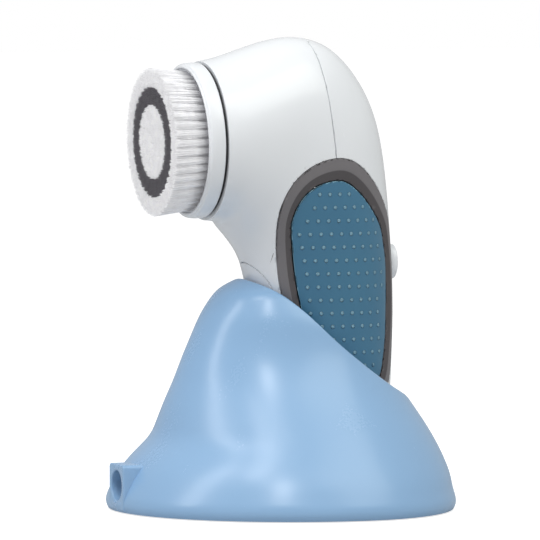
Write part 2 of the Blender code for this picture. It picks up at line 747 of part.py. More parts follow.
def build_stand(shop):
    above_rim = shop.cutter("above_rim", rim_cutter(0))
    above_land = shop.cutter("above_land", rim_cutter(STAND_WALL))
    well = shop.cutter("well", handset_body(WELL_CLEARANCE, foot_drop=GAP))
    cavity = shop.cutter("stand_cavity", stand_body(-STAND_WALL, open_below=True))
    boolean(cavity, above_land)
    shell = shop.piece("stand_shell", stand_body(0), "stand_blue")
    inlet = shop.cutter("inlet_block", rounded(box(
        (-INLET_HALF_WIDTH, INLET_FACE_Y, 0.9), (INLET_HALF_WIDTH, -40.0, INLET_TOP_Z)
    ), 0.7))
    boolean(shell, above_rim)
    boolean(shell, cavity)
    boolean(shell, inlet, "UNION")
    bore = shop.cutter("inlet_bore", rod(
        INLET_BORE_RADIUS, (0, -60, INLET_BORE_Z), (0, -30, INLET_BORE_Z), 28
    ))
    boolean(shell, bore)
    pocket = shop.cutter("inlet_pocket", box((-4.7, -45.4, 3.2), (4.7, -30.0, 13.8)))
    boolean(shell, pocket)
    boolean(shell, well)
    cradle = shop.piece(
        "stand_cradle", handset_body(WELL_CLEARANCE + CRADLE_WALL, foot_drop=CRADLE_FLOOR_DROP),
        "stand_blue",
    )
    above_cradle = shop.cutter("above_cradle", rim_cutter(STAND_WALL + GAP))
    boolean(cradle, above_cradle)
    boolean(cradle, well)
    build_underside(shop, shell)


def build_underside(shop, shell):
    edge = level_at(PLATE_BOTTOM_Z)
    rows = [[z, *edge[1:]] for z in (PLATE_BOTTOM_Z, PLATE_TOP_Z)]
    plate = shop.piece(
        "base_plate", loft([stand_ring(row, -STAND_WALL - 2 * GAP - 1.0) for row in rows]), "stand_blue"
    )
    inlet_room = shop.cutter("inlet_room", box((-8, -70, -5), (8, -38, 20)))
    boolean(plate, inlet_room)
    corners = [
        (x, y) for x in (-1, 1) for y in (POST_FRONT_Y, POST_BACK_Y)
    ]
    for i, (side, y) in enumerate(corners):
        x = side * POST_X
        post = shop.cutter(f"post_{i}", rod(3.2, (x, y, PLATE_TOP_Z + GAP), (x, y, 34.0), 16))
        trim = shop.cutter(f"post_trim_{i}", stand_body(-STAND_WALL / 2, open_below=True))
        boolean(post, trim, "INTERSECT")
        boolean(shell, post, "UNION")
    for i, (side, y) in enumerate(corners):
        x = side * POST_X
        hole = shop.cutter(f"screw_hole_{i}", rod(1.6, (x, y, -2), (x, y, 13), 12))
        boolean(shell, hole)
        sink = shop.cutter(f"screw_sink_{i}", rod(3.1, (x, y, -2), (x, y, 2.0), 16))
        boolean(plate, hole)
        boolean(plate, sink)
        screw = turned(
            f"base_screw_{i + 1}",
            [(0, 12.5), (1.2, 12.5), (1.2, 1.7), (2.7, 1.7), (2.7, 0.9), (0, 0.9)],
            "steel", shop.parts, None, 16, closed=False,
        )
        screw.location = (x * MM, y * MM, 0)
    feet = [(x, y) for x in (-FOOT_X, FOOT_X) for y in (FOOT_FRONT_Y, FOOT_BACK_Y)]
    for i, (x, y) in enumerate(feet):
        pocket = shop.cutter(f"foot_pocket_{i}", rod(FOOT_RADIUS + GAP, (x, y, -2), (x, y, FOOT_HEIGHT + GAP), 24))
        boolean(plate, pocket)
        foot = turned(
            f"rubber_foot_{i + 1}",
            [(0, FOOT_HEIGHT), (FOOT_RADIUS, FOOT_HEIGHT), (FOOT_RADIUS, 0.4), (FOOT_RADIUS - 0.4, 0), (0, 0)],
            "rubber", shop.parts, None, 24, closed=False,
        )
        foot.location = (x * MM, y * MM, 0)
    jack = shop.piece("dc_jack", box((-4.3, -45.0, 3.6), (4.3, -33.0, 13.4)), "black_plastic")
    throat = shop.cutter("jack_throat", rod(2.9, (0, -50, INLET_BORE_Z), (0, -35, INLET_BORE_Z), 20))
    boolean(jack, throat)
    pin = shop.cutter("jack_pin", rod(0.9, (0, -44, INLET_BORE_Z), (0, -34, INLET_BORE_Z), 12))
    boolean(jack, pin, "UNION")


def build():
    clear_scene()
    shop = Workshop()
    build_stand(shop)
    build_housings(shop)
    build_grips(shop)
    build_front_cover(shop)
    build_button(shop)
    build_drive(shop)
    build_spindle(shop)
    build_pinion(shop)
    build_brush(shop)
    build_electronics(shop)


build()
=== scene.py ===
"""Looks of a rotary facial cleansing brush that stands in its charging stand.

The brush faces -Y, its plane of symmetry is X = 0 and it stands on Z = 0. Shapes are
worked out in millimetres and written in metres. Brush pieces are made about their own
+Z, which then points out of the head, so a height there is the distance outside it.
"""

import json
import logging
import math
import random
from collections.abc import Callable, Iterable, Sequence
from dataclasses import dataclass
from enum import Enum

import bmesh
import bpy
import numpy as np
from mathutils import Matrix, Vector


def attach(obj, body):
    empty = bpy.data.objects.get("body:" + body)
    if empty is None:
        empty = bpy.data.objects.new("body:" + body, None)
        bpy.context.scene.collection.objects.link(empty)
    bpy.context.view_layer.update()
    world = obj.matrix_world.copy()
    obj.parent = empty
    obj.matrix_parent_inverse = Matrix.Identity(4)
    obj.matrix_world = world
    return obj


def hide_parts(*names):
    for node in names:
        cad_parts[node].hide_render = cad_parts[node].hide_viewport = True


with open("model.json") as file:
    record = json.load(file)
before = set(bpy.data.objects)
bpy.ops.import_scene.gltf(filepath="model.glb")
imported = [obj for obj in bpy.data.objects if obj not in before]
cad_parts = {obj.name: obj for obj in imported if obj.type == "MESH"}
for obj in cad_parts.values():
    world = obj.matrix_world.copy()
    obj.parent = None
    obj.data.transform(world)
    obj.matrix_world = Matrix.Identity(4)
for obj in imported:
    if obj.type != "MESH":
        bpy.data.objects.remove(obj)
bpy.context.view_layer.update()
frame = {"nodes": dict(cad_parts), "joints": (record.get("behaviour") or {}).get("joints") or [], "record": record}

log = logging.getLogger("cleansing_brush")

MM = 0.001
SEED = 7
GOLDEN_ANGLE = math.pi * (3 - math.sqrt(5))
Field = Callable[[np.ndarray], np.ndarray]


class Body(Enum):
    """The bodies that move on their own."""

    STAND = "stand"
    HANDSET = "handset"
    BRUSH = "brush_head"
    BUTTON = "button"


class Side(Enum):
    """Which side of the plane of symmetry a piece is on, and the sign of its X."""

    RIGHT = 1
    LEFT = -1


# ------------------------------------------------------------------ curves and outlines
class SmoothCurve:
    """A natural cubic curve through rows of numbers."""

    def __init__(self, rows: Sequence[Sequence[float]], knots: Sequence[float] | None = None) -> None:
        """Solves for the curve's bends.

        Args:
            rows: The values that the curve passes through, one row a knot.
            knots: The place of each row along the curve. Left out, they follow the
                square roots of the distances between the rows' first two values.
        """
        self.rows = np.array(rows, float)
        if knots is None:
            steps = np.linalg.norm(np.diff(self.rows[:, :2], axis=0), axis=1) ** 0.5
            knots = np.concatenate([[0.0], np.cumsum(steps)])
        self.knots = np.array(knots, float)
        spans = np.diff(self.knots)
        slopes = np.diff(self.rows, axis=0) / spans[:, None]
        system, pull = np.eye(len(self.knots)), np.zeros_like(self.rows)
        for i in range(1, len(spans)):
            system[i, i - 1:i + 2] = spans[i - 1] / 6, (spans[i - 1] + spans[i]) / 3, spans[i] / 6
            pull[i] = slopes[i] - slopes[i - 1]
        self.bends = np.linalg.solve(system, pull)

    def at(self, place: np.ndarray) -> np.ndarray:
        """The rows at these places along the curve.

        Args:
            place: Places between the first knot and the last.

        Returns:
            One row of values for each place.
        """
        place = np.clip(np.asarray(place, float), self.knots[0], self.knots[-1])
        i = np.clip(np.searchsorted(self.knots, place, side="right") - 1, 0, len(self.knots) - 2)
        span = (self.knots[i + 1] - self.knots[i])[..., None]
        low = (self.knots[i + 1] - place)[..., None] / span
        high = 1 - low
        bend = (low**3 - low) * self.bends[i] + (high**3 - high) * self.bends[i + 1]
        return low * self.rows[i] + high * self.rows[i + 1] + bend * span**2 / 6


def closed_loop(points: Sequence[tuple[float, float]], per_span: int = 6) -> np.ndarray:
    """A closed smooth outline through the given points.

    Args:
        points: The outline's own points.
        per_span: How many points to put between two of them.

    Returns:
        The outline as rows of two values.
    """
    lead = 3
    count = len(points)
    curve = SmoothCurve([points[i % count] for i in range(-lead, count + lead + 1)])
    ends = curve.knots[lead:lead + count + 1]
    places = [np.linspace(a, b, per_span, endpoint=False) for a, b in zip(ends, ends[1:])]
    return curve.at(np.concatenate(places))


def inset_loop(loop: np.ndarray, side: float, top: float) -> np.ndarray:
    """A closed outline moved inwards, by more towards its top.

    Args:
        loop: The outline, as rows of two values, the second of them the height.
        side: How far it moves at its sides and foot.
        top: How far it moves at its top.

    Returns:
        The moved outline.
    """
    ahead = np.roll(loop, -1, axis=0) - np.roll(loop, 1, axis=0)
    ahead /= np.linalg.norm(ahead, axis=1)[:, None]
    following = np.roll(loop, -1, axis=0)
    area = np.sum(loop[:, 0] * following[:, 1] - following[:, 0] * loop[:, 1])
    inwards = np.column_stack([-ahead[:, 1], ahead[:, 0]]) * math.copysign(1, area)
    height = (loop[:, 1] - loop[:, 1].min()) / np.ptp(loop[:, 1])
    near_top = np.clip(height - 0.75, 0, 1)[:, None] / 0.25
    return loop + inwards * (side + (top - side) * near_top)


def loop_distance(points: np.ndarray, loop: np.ndarray) -> np.ndarray:
    """Signed distance from points to a closed outline, negative inside it.

    Args:
        points: Rows of two values.
        loop: The outline's rows.

    Returns:
        One distance a point.
    """
    nearest = np.full(len(points), np.inf)
    inside = np.zeros(len(points), bool)
    for start, end in zip(loop, np.roll(loop, -1, axis=0)):
        run = end - start
        offset = points - start
        share = np.clip(offset @ run / (run @ run), 0, 1)
        nearest = np.minimum(nearest, np.linalg.norm(offset - share[:, None] * run, axis=1))
        spans = (start[1] > points[:, 1]) != (end[1] > points[:, 1])
        crossing = start[0] + offset[:, 1] * run[0] / (run[1] if run[1] else 1e-9)
        inside ^= spans & (points[:, 0] < crossing)
    return np.where(inside, -nearest, nearest)


def rounded_overlap(a: np.ndarray, b: np.ndarray, radius: float) -> np.ndarray:
    """The distance field of where two regions overlap, with its corners rounded.

    Args:
        a: The first region's field, negative inside.
        b: The second region's field.
        radius: The radius of the corners.

    Returns:
        The field of the overlap.
    """
    beyond = np.hypot(np.maximum(a + radius, 0), np.maximum(b + radius, 0))
    return np.minimum(np.maximum(a, b), -radius) + beyond


def signed_power(value: np.ndarray, power: np.ndarray | float) -> np.ndarray:
    """A power that keeps the sign of what it is taken of."""
    return np.sign(value) * np.abs(value) ** power


def corner_arc(start: np.ndarray, corner: np.ndarray, end: np.ndarray, steps: int) -> list[np.ndarray]:
    """Rows of points that round a corner, ends included.

    Args:
        start: Where the rounding starts, a row for each column of the surface.
        corner: The sharp corner.
        end: Where the rounding ends.
        steps: How many steps it takes.

    Returns:
        The rows, from start to end.
    """
    shares = [i / steps for i in range(steps + 1)]
    return [(1 - s) ** 2 * start + 2 * s * (1 - s) * corner + s * s * end for s in shares]


# ------------------------------------------------------------------ meshes
def coordinates(bm: bmesh.types.BMesh) -> np.ndarray:
    """The mesh's points, with its vertices numbered in the same order."""
    bm.verts.index_update()
    return np.array([vert.co[:] for vert in bm.verts])


def sheet(points: np.ndarray, wrapped: bool = True) -> bmesh.types.BMesh:
    """A surface through a grid of points.

    Args:
        points: Rows by columns by three values.
        wrapped: Whether the last column joins the first.

    Returns:
        The surface, its seam and poles merged.
    """
    if wrapped:
        points = np.concatenate([points, points[:, :1]], axis=1)
    rows, columns = points.shape[:2]
    bm = bmesh.new()
    bmesh.ops.create_grid(bm, x_segments=columns - 1, y_segments=rows - 1, size=1.0)
    for vert, place in zip(bm.verts, points.reshape(-1, 3)):
        vert.co = place
    bmesh.ops.remove_doubles(bm, verts=bm.verts, dist=0.001)
    return bm


def score(bm: bmesh.types.BMesh, field: Field) -> None:
    """Cuts the mesh's faces along the line where a field is zero.

    Args:
        bm: The mesh.
        field: Gives a value for each row of coordinates.
    """
    near = 0.03
    values = field(coordinates(bm))
    values[np.abs(values) < near] = 0.0
    line = [vert for vert, value in zip(bm.verts, values) if value == 0.0]
    ends = [(edge, values[edge.verts[0].index], values[edge.verts[1].index]) for edge in bm.edges]
    for edge, first, second in ends:
        if first * second < 0:
            _, cut = bmesh.utils.edge_split(edge, edge.verts[0], first / (first - second))
            line.append(cut)
    bmesh.ops.connect_verts(bm, verts=line)


def keep_inside(bm: bmesh.types.BMesh, field: Field) -> None:
    """Cuts the mesh along a field's zero line and keeps the part where it is negative."""
    score(bm, field)
    centres = np.array([face.calc_center_median()[:] for face in bm.faces])
    outside = [face for face, value in zip(bm.faces, field(centres)) if value > 0]
    bmesh.ops.delete(bm, geom=outside, context="FACES")


def keep_outside(bm: bmesh.types.BMesh, field: Field) -> None:
    """Cuts the mesh along a field's zero line and keeps the part where it is positive."""
    keep_inside(bm, lambda points: -field(points))


def face_away(bm: bmesh.types.BMesh, middle: Sequence[float]) -> None:
    """Turns a surface's faces away from a point that it curves around.

    Args:
        bm: The surface.
        middle: The point.
    """
    bmesh.ops.recalc_face_normals(bm, faces=bm.faces)
    middle = Vector(middle)
    flow = sum(f.calc_area() * f.normal.dot(f.calc_center_median() - middle) for f in bm.faces)
    if flow < 0:
        bmesh.ops.reverse_faces(bm, faces=bm.faces)


def turned(profile: Sequence[tuple[float, float]], steps: int = 96) -> bmesh.types.BMesh:
    """A solid or ring turned about +Z.

    Args:
        profile: Radius and height of each point, from one end on the axis to the
            other, or a loop whose last point repeats its first.
        steps: How many steps the turn takes.

    Returns:
        The turned mesh.
    """
    bm = bmesh.new()
    verts = [bm.verts.new((radius, 0, height)) for radius, height in profile]
    edges = [bm.edges.new(pair) for pair in zip(verts, verts[1:])]
    bmesh.ops.spin(
        bm, geom=verts + edges, cent=(0, 0, 0), axis=(0, 0, 1), dvec=(0, 0, 0),
        angle=math.tau, steps=steps, use_merge=True, use_duplicate=False,
    )
    bmesh.ops.remove_doubles(bm, verts=bm.verts, dist=0.0005)
    bmesh.ops.recalc_face_normals(bm, faces=bm.faces)
    return bm


def rounded_profile(
    points: Sequence[tuple[float, float, float]], steps: int = 4
) -> list[tuple[float, float]]:
    """A profile whose corners are rounded.

    Args:
        points: Radius, height and corner size of each point.
        steps: How many steps a corner takes.

    Returns:
        Radius and height of each point of the rounded profile.
    """
    rows = [np.array(point[:2]) for point in points]
    made = []
    for i, (*_, size) in enumerate(points):
        if size == 0 or i in (0, len(points) - 1):
            made.append(tuple(rows[i]))
            continue
        before, after = rows[i - 1] - rows[i], rows[i + 1] - rows[i]
        start = rows[i] + before / np.linalg.norm(before) * size
        end = rows[i] + after / np.linalg.norm(after) * size
        made.extend(tuple(point) for point in corner_arc(start, rows[i], end, steps))
    return made


# ------------------------------------------------------------------ finishes
class Wiring:
    """Adds nodes to one tree and joins them."""

    def __init__(self, tree: bpy.types.NodeTree) -> None:
        """Keeps the tree that it works on."""
        self.tree = tree

    def add(self, kind: str, **settings: object) -> bpy.types.Node:
        """A new node with these settings."""
        made = self.tree.nodes.new(kind)
        for name, value in settings.items():
            setattr(made, name, value)
        return made

    def join(self, source: bpy.types.NodeSocket, target: bpy.types.NodeSocket) -> None:
        """Joins an output to an input."""
        self.tree.links.new(source, target)

    def feed(self, target: bpy.types.NodeSocket, source: bpy.types.NodeSocket | float) -> None:
        """Joins an output to an input, or sets the input to a number."""
        if isinstance(source, bpy.types.NodeSocket):
            self.join(source, target)
        else:
            target.default_value = source

    def maths(self, operation: str, *sources: bpy.types.NodeSocket | float) -> bpy.types.NodeSocket:
        """The result of one sum."""
        made = self.add("ShaderNodeMath", operation=operation)
        for socket, source in zip(made.inputs, sources):
            self.feed(socket, source)
        return made.outputs[0]

    def blend(
        self, share: bpy.types.NodeSocket | float, first: object, second: object
    ) -> bpy.types.NodeSocket:
        """A colour between two others, each a socket or a colour.

        Args:
            share: How much of the second one there is.
            first: The first colour.
            second: The second colour.

        Returns:
            The colour's socket.
        """
        made = self.add("ShaderNodeMix", data_type="RGBA")
        self.feed(made.inputs["Factor"], share)
        colours = [socket for socket in made.inputs if socket.type == "RGBA"]
        for socket, source in zip(colours, (first, second)):
            self.feed(socket, source)
        return next(socket for socket in made.outputs if socket.type == "RGBA")

    def noise(
        self, place: bpy.types.NodeSocket, scale: bpy.types.NodeSocket | float, detail: float = 3.0
    ) -> bpy.types.NodeSocket:
        """A soft random value over the surface."""
        made = self.add("ShaderNodeTexNoise")
        made.inputs["Detail"].default_value = detail
        self.join(place, made.inputs["Vector"])
        self.feed(made.inputs["Scale"], scale)
        return made.outputs["Fac"]


def new_group(name: str, inputs: dict[str, str], outputs: dict[str, str]) -> tuple[Wiring, dict, dict]:
    """An empty node group with named sockets.

    Args:
        name: The group's name.
        inputs: The kind of each named input.
        outputs: The kind of each named output.

    Returns:
        The group's wiring, its inputs' inner ends and its outputs' inner ends.
    """
    tree = bpy.data.node_groups.new(name, "ShaderNodeTree")
    for names, way in ((inputs, "INPUT"), (outputs, "OUTPUT")):
        for label, kind in names.items():
            tree.interface.new_socket(name=label, in_out=way, socket_type="NodeSocket" + kind)
    wiring = Wiring(tree)
    entry, way_out = wiring.add("NodeGroupInput"), wiring.add("NodeGroupOutput")
    return wiring, {n: entry.outputs[n] for n in inputs}, {n: way_out.inputs[n] for n in outputs}


class Effects:
    """Surface effects that several finishes share, each one a node group."""

    def __init__(self) -> None:
        """Builds the groups."""
        self.grain = self.build_grain()
        self.tone = self.build_tone()
        self.handling = self.build_handling()
        self.edge_highlight = self.build_edge_highlight()

    @staticmethod
    def build_grain() -> bpy.types.NodeTree:
        """The fine and the broad unevenness of a moulded face, as a height."""
        w, come, go = new_group(
            "mould_grain",
            {"Place": "Vector", "Scale": "Float", "Broad": "Float"},
            {"Height": "Float"},
        )
        fine = w.noise(come["Place"], come["Scale"], 4.0)
        broad = w.noise(come["Place"], w.maths("MULTIPLY", come["Scale"], 0.05), 2.0)
        w.join(w.maths("ADD", fine, w.maths("MULTIPLY", broad, come["Broad"])), go["Height"])
        return w.tree

    @staticmethod
    def build_tone() -> bpy.types.NodeTree:
        """A colour that drifts softly towards a second one."""
        w, come, go = new_group(
            "tone_drift",
            {"Place": "Vector", "Colour": "Color", "Drift": "Color", "Scale": "Float", "Amount": "Float"},
            {"Colour": "Color"},
        )
        drift = w.noise(come["Place"], come["Scale"], 2.0)
        spread = w.add("ShaderNodeMapRange")
        spread.inputs["From Min"].default_value = 0.35
        spread.inputs["From Max"].default_value = 0.65
        w.join(drift, spread.inputs["Value"])
        share = w.maths("MULTIPLY", spread.outputs["Result"], come["Amount"])
        w.join(w.blend(share, come["Colour"], come["Drift"]), go["Colour"])
        return w.tree

    @staticmethod
    def build_handling() -> bpy.types.NodeTree:
        """Roughness with the faint smears and specks of use."""
        w, come, go = new_group(
            "handling_marks",
            {"Place": "Vector", "Roughness": "Float", "Amount": "Float"},
            {"Roughness": "Float"},
        )
        stretch = w.add("ShaderNodeMapping")
        stretch.inputs["Scale"].default_value = (1.0, 0.7, 0.35)
        w.join(come["Place"], stretch.inputs["Vector"])
        smears = w.noise(stretch.outputs["Vector"], 90.0, 5.0)
        specks = w.noise(come["Place"], 1400.0, 1.0)
        mixed = w.maths("ADD", w.maths("MULTIPLY", smears, 0.75), w.maths("MULTIPLY", specks, 0.25))
        change = w.maths("MULTIPLY", w.maths("SUBTRACT", mixed, 0.5), come["Amount"])
        w.join(w.maths("ADD", come["Roughness"], change), go["Roughness"])
        return w.tree

    @staticmethod
    def build_edge_highlight() -> bpy.types.NodeTree:
        """A colour that gives way to a paler one on sharp edges, broken by noise: a painted highlight."""
        w, come, go = new_group(
            "painted_edge_highlight",
            {"Place": "Vector", "Colour": "Color", "Rubbed": "Color", "Amount": "Float"},
            {"Colour": "Color"},
        )
        shape = w.add("ShaderNodeNewGeometry")
        edge = w.add("ShaderNodeMapRange")
        edge.inputs["From Min"].default_value = 0.52
        edge.inputs["From Max"].default_value = 0.62
        w.join(shape.outputs["Pointiness"], edge.inputs["Value"])
        broken = w.maths("MULTIPLY", edge.outputs["Result"], w.noise(come["Place"], 600.0, 3.0))
        share = w.maths("MULTIPLY", broken, come["Amount"])
        w.join(w.blend(share, come["Colour"], come["Rubbed"]), go["Colour"])
        return w.tree


@dataclass(frozen=True)
class Finish:
    """A moulded, turned or plated surface."""

    name: str
    colour: tuple[float, float, float]
    drift: tuple[float, float, float]
    roughness: float = 0.4
    metallic: float = 0.0
    grain_scale: float = 2500.0
    grain_depth: float = 0.000006
    broad_grain: float = 0.5
    drift_scale: float = 30.0
    drift_amount: float = 0.5
    marks: float = 0.12
    # How far sharp edges are painted paler: a painted highlight.
    rubbed: float = 0.3
    coat: float = 0.0
    coat_roughness: float = 0.2
    sheen: float = 0.0
    subsurface: float = 0.0
    # Emission strength: a painted glow that stands in for light scattered through the surface.
    painted_glow: float = 0.0

    def build(self, effects: Effects) -> bpy.types.Material:
        """Makes the material.

        Args:
            effects: The node groups that it uses.

        Returns:
            The material.
        """
        made = bpy.data.materials.new(self.name)
        made.use_nodes = True
        w = Wiring(made.node_tree)
        shader = made.node_tree.nodes["Principled BSDF"]
        place = w.add("ShaderNodeTexCoord").outputs["Object"]
        self.set_constants(shader)
        colour = self.wire_colour(w, effects, place)
        w.join(colour, shader.inputs["Base Color"])
        marks = self.group(w, effects.handling, Place=place, Roughness=self.roughness, Amount=self.marks)
        w.join(marks.outputs["Roughness"], shader.inputs["Roughness"])
        bump = w.add("ShaderNodeBump")
        bump.inputs["Distance"].default_value = self.grain_depth
        w.join(self.wire_height(w, effects, place), bump.inputs["Height"])
        w.join(bump.outputs["Normal"], shader.inputs["Normal"])
        return made

    def set_constants(self, shader: bpy.types.Node) -> None:
        """Sets what is the same all over the surface on the shader itself.

        Args:
            shader: The material's shader.
        """
        shader.inputs["Metallic"].default_value = self.metallic
        shader.inputs["Coat Weight"].default_value = self.coat
        shader.inputs["Coat Roughness"].default_value = self.coat_roughness
        shader.inputs["Sheen Weight"].default_value = self.sheen
        shader.inputs["Subsurface Weight"].default_value = self.subsurface
        shader.inputs["Subsurface Scale"].default_value = 0.002
        shader.inputs["Subsurface Radius"].default_value = (1.0, 1.0, 1.0)
        # The emission is painted glow, for light scattered through the surface; its strength is zero unless a
        # finish sets it.
        shader.inputs["Emission Color"].default_value = (1.0, 0.99, 1.0, 1.0)
        shader.inputs["Emission Strength"].default_value = self.painted_glow

    @staticmethod
    def group(w: Wiring, tree: bpy.types.NodeTree, **values: object) -> bpy.types.Node:
        """A node group in a material, with its inputs fed."""
        made = w.add("ShaderNodeGroup", node_tree=tree)
        for name, value in values.items():
            w.feed(made.inputs[name], value)
        return made

    def wire_colour(self, w: Wiring, effects: Effects, place: bpy.types.NodeSocket) -> bpy.types.NodeSocket:
        """The colour over the surface.

        Args:
            w: The material's wiring.
            effects: The node groups.
            place: Object coordinates.

        Returns:
            The colour's socket.
        """
        return self.paint_edge_highlight(w, effects, place, self.shade(w, effects, place, self.colour, self.drift))

    def shade(
        self, w: Wiring, effects: Effects, place: bpy.types.NodeSocket,
        colour: Sequence[float], drift: Sequence[float],
    ) -> bpy.types.NodeSocket:
        """A base colour that drifts towards a second one.

        Args:
            w: The material's wiring.
            effects: The node groups.
            place: Object coordinates.
            colour: The surface's colour.
            drift: The colour that it drifts to.

        Returns:
            The colour's socket.
        """
        toned = self.group(
            w, effects.tone, Place=place, Colour=(*colour, 1), Drift=(*drift, 1),
            Scale=self.drift_scale, Amount=self.drift_amount,
        )
        return toned.outputs["Colour"]

    def paint_edge_highlight(
        self, w: Wiring, effects: Effects, place: bpy.types.NodeSocket, colour: bpy.types.NodeSocket
    ) -> bpy.types.NodeSocket:
        """The colour with its sharp edges painted paler: a painted highlight."""
        pale = tuple(0.5 + 0.5 * value for value in self.colour)
        lit_edge = self.group(
            w, effects.edge_highlight, Place=place, Colour=colour, Rubbed=(*pale, 1), Amount=self.rubbed
        )
        return lit_edge.outputs["Colour"]

    def wire_height(self, w: Wiring, effects: Effects, place: bpy.types.NodeSocket) -> bpy.types.NodeSocket:
        """The height of the surface's grain."""
        grain = self.group(w, effects.grain, Place=place, Scale=self.grain_scale, Broad=self.broad_grain)
        return grain.outputs["Height"]


@dataclass(frozen=True)
class BandedFinish(Finish):
    """A finish that changes to a second colour where an attribute rises."""

    second: tuple[float, float, float] = (0.1, 0.1, 0.1)
    attribute: str = "band"
    from_value: float = 0.03
    to_value: float = 0.12

    def wire_colour(self, w: Wiring, effects: Effects, place: bpy.types.NodeSocket) -> bpy.types.NodeSocket:
        """The first colour, and the second one past the band's line.

        Args:
            w: The material's wiring.
            effects: The node groups.
            place: Object coordinates.

        Returns:
            The colour's socket.
        """
        band = w.add("ShaderNodeAttribute", attribute_name=self.attribute)
        step = w.add("ShaderNodeMapRange", interpolation_type="SMOOTHSTEP")
        step.inputs["From Min"].default_value = self.from_value
        step.inputs["From Max"].default_value = self.to_value
        w.join(band.outputs["Fac"], step.inputs["Value"])
        first = self.shade(w, effects, place, self.colour, self.drift)
        change = tuple(0.8 * value for value in self.second)
        second = self.shade(w, effects, place, self.second, change)
        both = w.blend(step.outputs["Result"], first, second)
        return self.paint_edge_highlight(w, effects, place, both)


@dataclass(frozen=True)
class BoardFinish(Finish):
    """Solder mask over a pattern of copper tracks."""

    track_scale: float = 420.0

    def wire_colour(self, w: Wiring, effects: Effects, place: bpy.types.NodeSocket) -> bpy.types.NodeSocket:
        """The mask's colour, paler where a track lies under it."""
        cells = w.add("ShaderNodeTexVoronoi", feature="DISTANCE_TO_EDGE")
        cells.inputs["Scale"].default_value = self.track_scale
        w.join(place, cells.inputs["Vector"])
        track = w.maths("LESS_THAN", cells.outputs["Distance"], 0.08)
        return w.blend(track, self.shade(w, effects, place, self.colour, self.drift), (*self.drift, 1))


@dataclass(frozen=True)
class WindingFinish(Finish):
    """Fine wire laid in rings about a vertical line."""

    centre: tuple[float, float] = (0.0, 0.0179)
    wire: float = 0.00035

    def wire_height(self, w: Wiring, effects: Effects, place: bpy.types.NodeSocket) -> bpy.types.NodeSocket:
        """The height of the rings of wire."""
        shift = w.add("ShaderNodeMapping")
        shift.inputs["Location"].default_value = (-self.centre[0], -self.centre[1], 0)
        w.join(place, shift.inputs["Vector"])
        rings = w.add("ShaderNodeTexWave", wave_type="RINGS", rings_direction="Z")
        rings.inputs["Scale"].default_value = 0.314 / self.wire
        w.join(shift.outputs["Vector"], rings.inputs["Vector"])
        return rings.outputs["Fac"]


FINISHES = (
    Finish("stand_satin_blue", (0.258, 0.435, 0.665), (0.272, 0.448, 0.675), roughness=0.27, grain_scale=1800,
           grain_depth=0.000002, drift_scale=18, marks=0.03, rubbed=0.10),
    Finish("gloss_white", (0.790, 0.812, 0.845), (0.805, 0.822, 0.845), roughness=0.27, grain_scale=1500,
           grain_depth=0.0000006, drift_scale=22, marks=0.025, rubbed=0.0, coat=0.25, coat_roughness=0.15,
           subsurface=0.08),
    BandedFinish("grip_frame_grey", (0.172, 0.162, 0.170), (0.150, 0.142, 0.150), roughness=0.46,
                 grain_scale=2600, grain_depth=0.000010, drift_scale=60, rubbed=0.15,
                 second=(0.078, 0.070, 0.074)),
    # The raised dots take the paler second colour: a painted highlight on each dot.
    BandedFinish("soft_pad_blue", (0.042, 0.160, 0.272), (0.050, 0.182, 0.292), roughness=0.56,
                 grain_scale=3600, grain_depth=0.000014, drift_scale=45, marks=0.16, rubbed=0.0, sheen=0.12,
                 second=(0.24, 0.47, 0.60), attribute="dot", from_value=0.2, to_value=0.8),
    # The nylon finishes darken towards the roots along reach: painted shade between the tufts. The white nylon's
    # emission is a painted glow.
    BandedFinish("nylon_white", (0.36, 0.36, 0.39), (0.33, 0.33, 0.37), roughness=0.55, grain_scale=5000,
                 grain_depth=0.000010, drift_scale=400, rubbed=0.0, sheen=0.1, subsurface=0.2, painted_glow=0.08,
                 second=(0.93, 0.93, 0.95), attribute="reach", from_value=-0.1, to_value=0.4),
    BandedFinish("nylon_grey", (0.060, 0.056, 0.064), (0.05, 0.05, 0.055), roughness=0.6, grain_scale=5000,
                 grain_depth=0.000010, drift_scale=500, drift_amount=0.8, rubbed=0.0,
                 second=(0.135, 0.128, 0.145), attribute="reach", from_value=0.2, to_value=1.0),
    # Near black: the nose plate is a real part, and its flange shows only in the gap between hub and casing, as
    # painted shade there.
    Finish("nose_dark", (0.035, 0.035, 0.038), (0.05, 0.05, 0.055), roughness=0.5, grain_depth=0.000012),
    Finish("black_rubber", (0.018, 0.018, 0.019), (0.03, 0.03, 0.03), roughness=0.8, grain_scale=3000,
           grain_depth=0.00002, rubbed=0.1),
    Finish("bright_steel", (0.62, 0.62, 0.64), (0.5, 0.5, 0.53), roughness=0.28, metallic=1.0,
           grain_scale=4000, grain_depth=0.000003, rubbed=0.0, marks=0.2),
    Finish("sintered_bronze", (0.52, 0.35, 0.16), (0.40, 0.26, 0.12), roughness=0.42, metallic=1.0,
           grain_scale=5000, grain_depth=0.00001, marks=0.25),
    BoardFinish("board_green", (0.012, 0.110, 0.045), (0.03, 0.20, 0.08), roughness=0.35, coat=0.3),
    WindingFinish("copper_winding", (0.72, 0.32, 0.14), (0.6, 0.24, 0.1), roughness=0.32, metallic=1.0,
                  grain_depth=0.00012, coat=0.4),
    Finish("natural_nylon", (0.80, 0.78, 0.70), (0.74, 0.71, 0.62), roughness=0.5, subsurface=0.1),
    Finish("cell_sleeve_green", (0.08, 0.20, 0.12), (0.10, 0.24, 0.15), roughness=0.3, coat=0.4),
    Finish("black_moulding", (0.028, 0.028, 0.030), (0.04, 0.04, 0.042), roughness=0.5, grain_depth=0.00001),
)

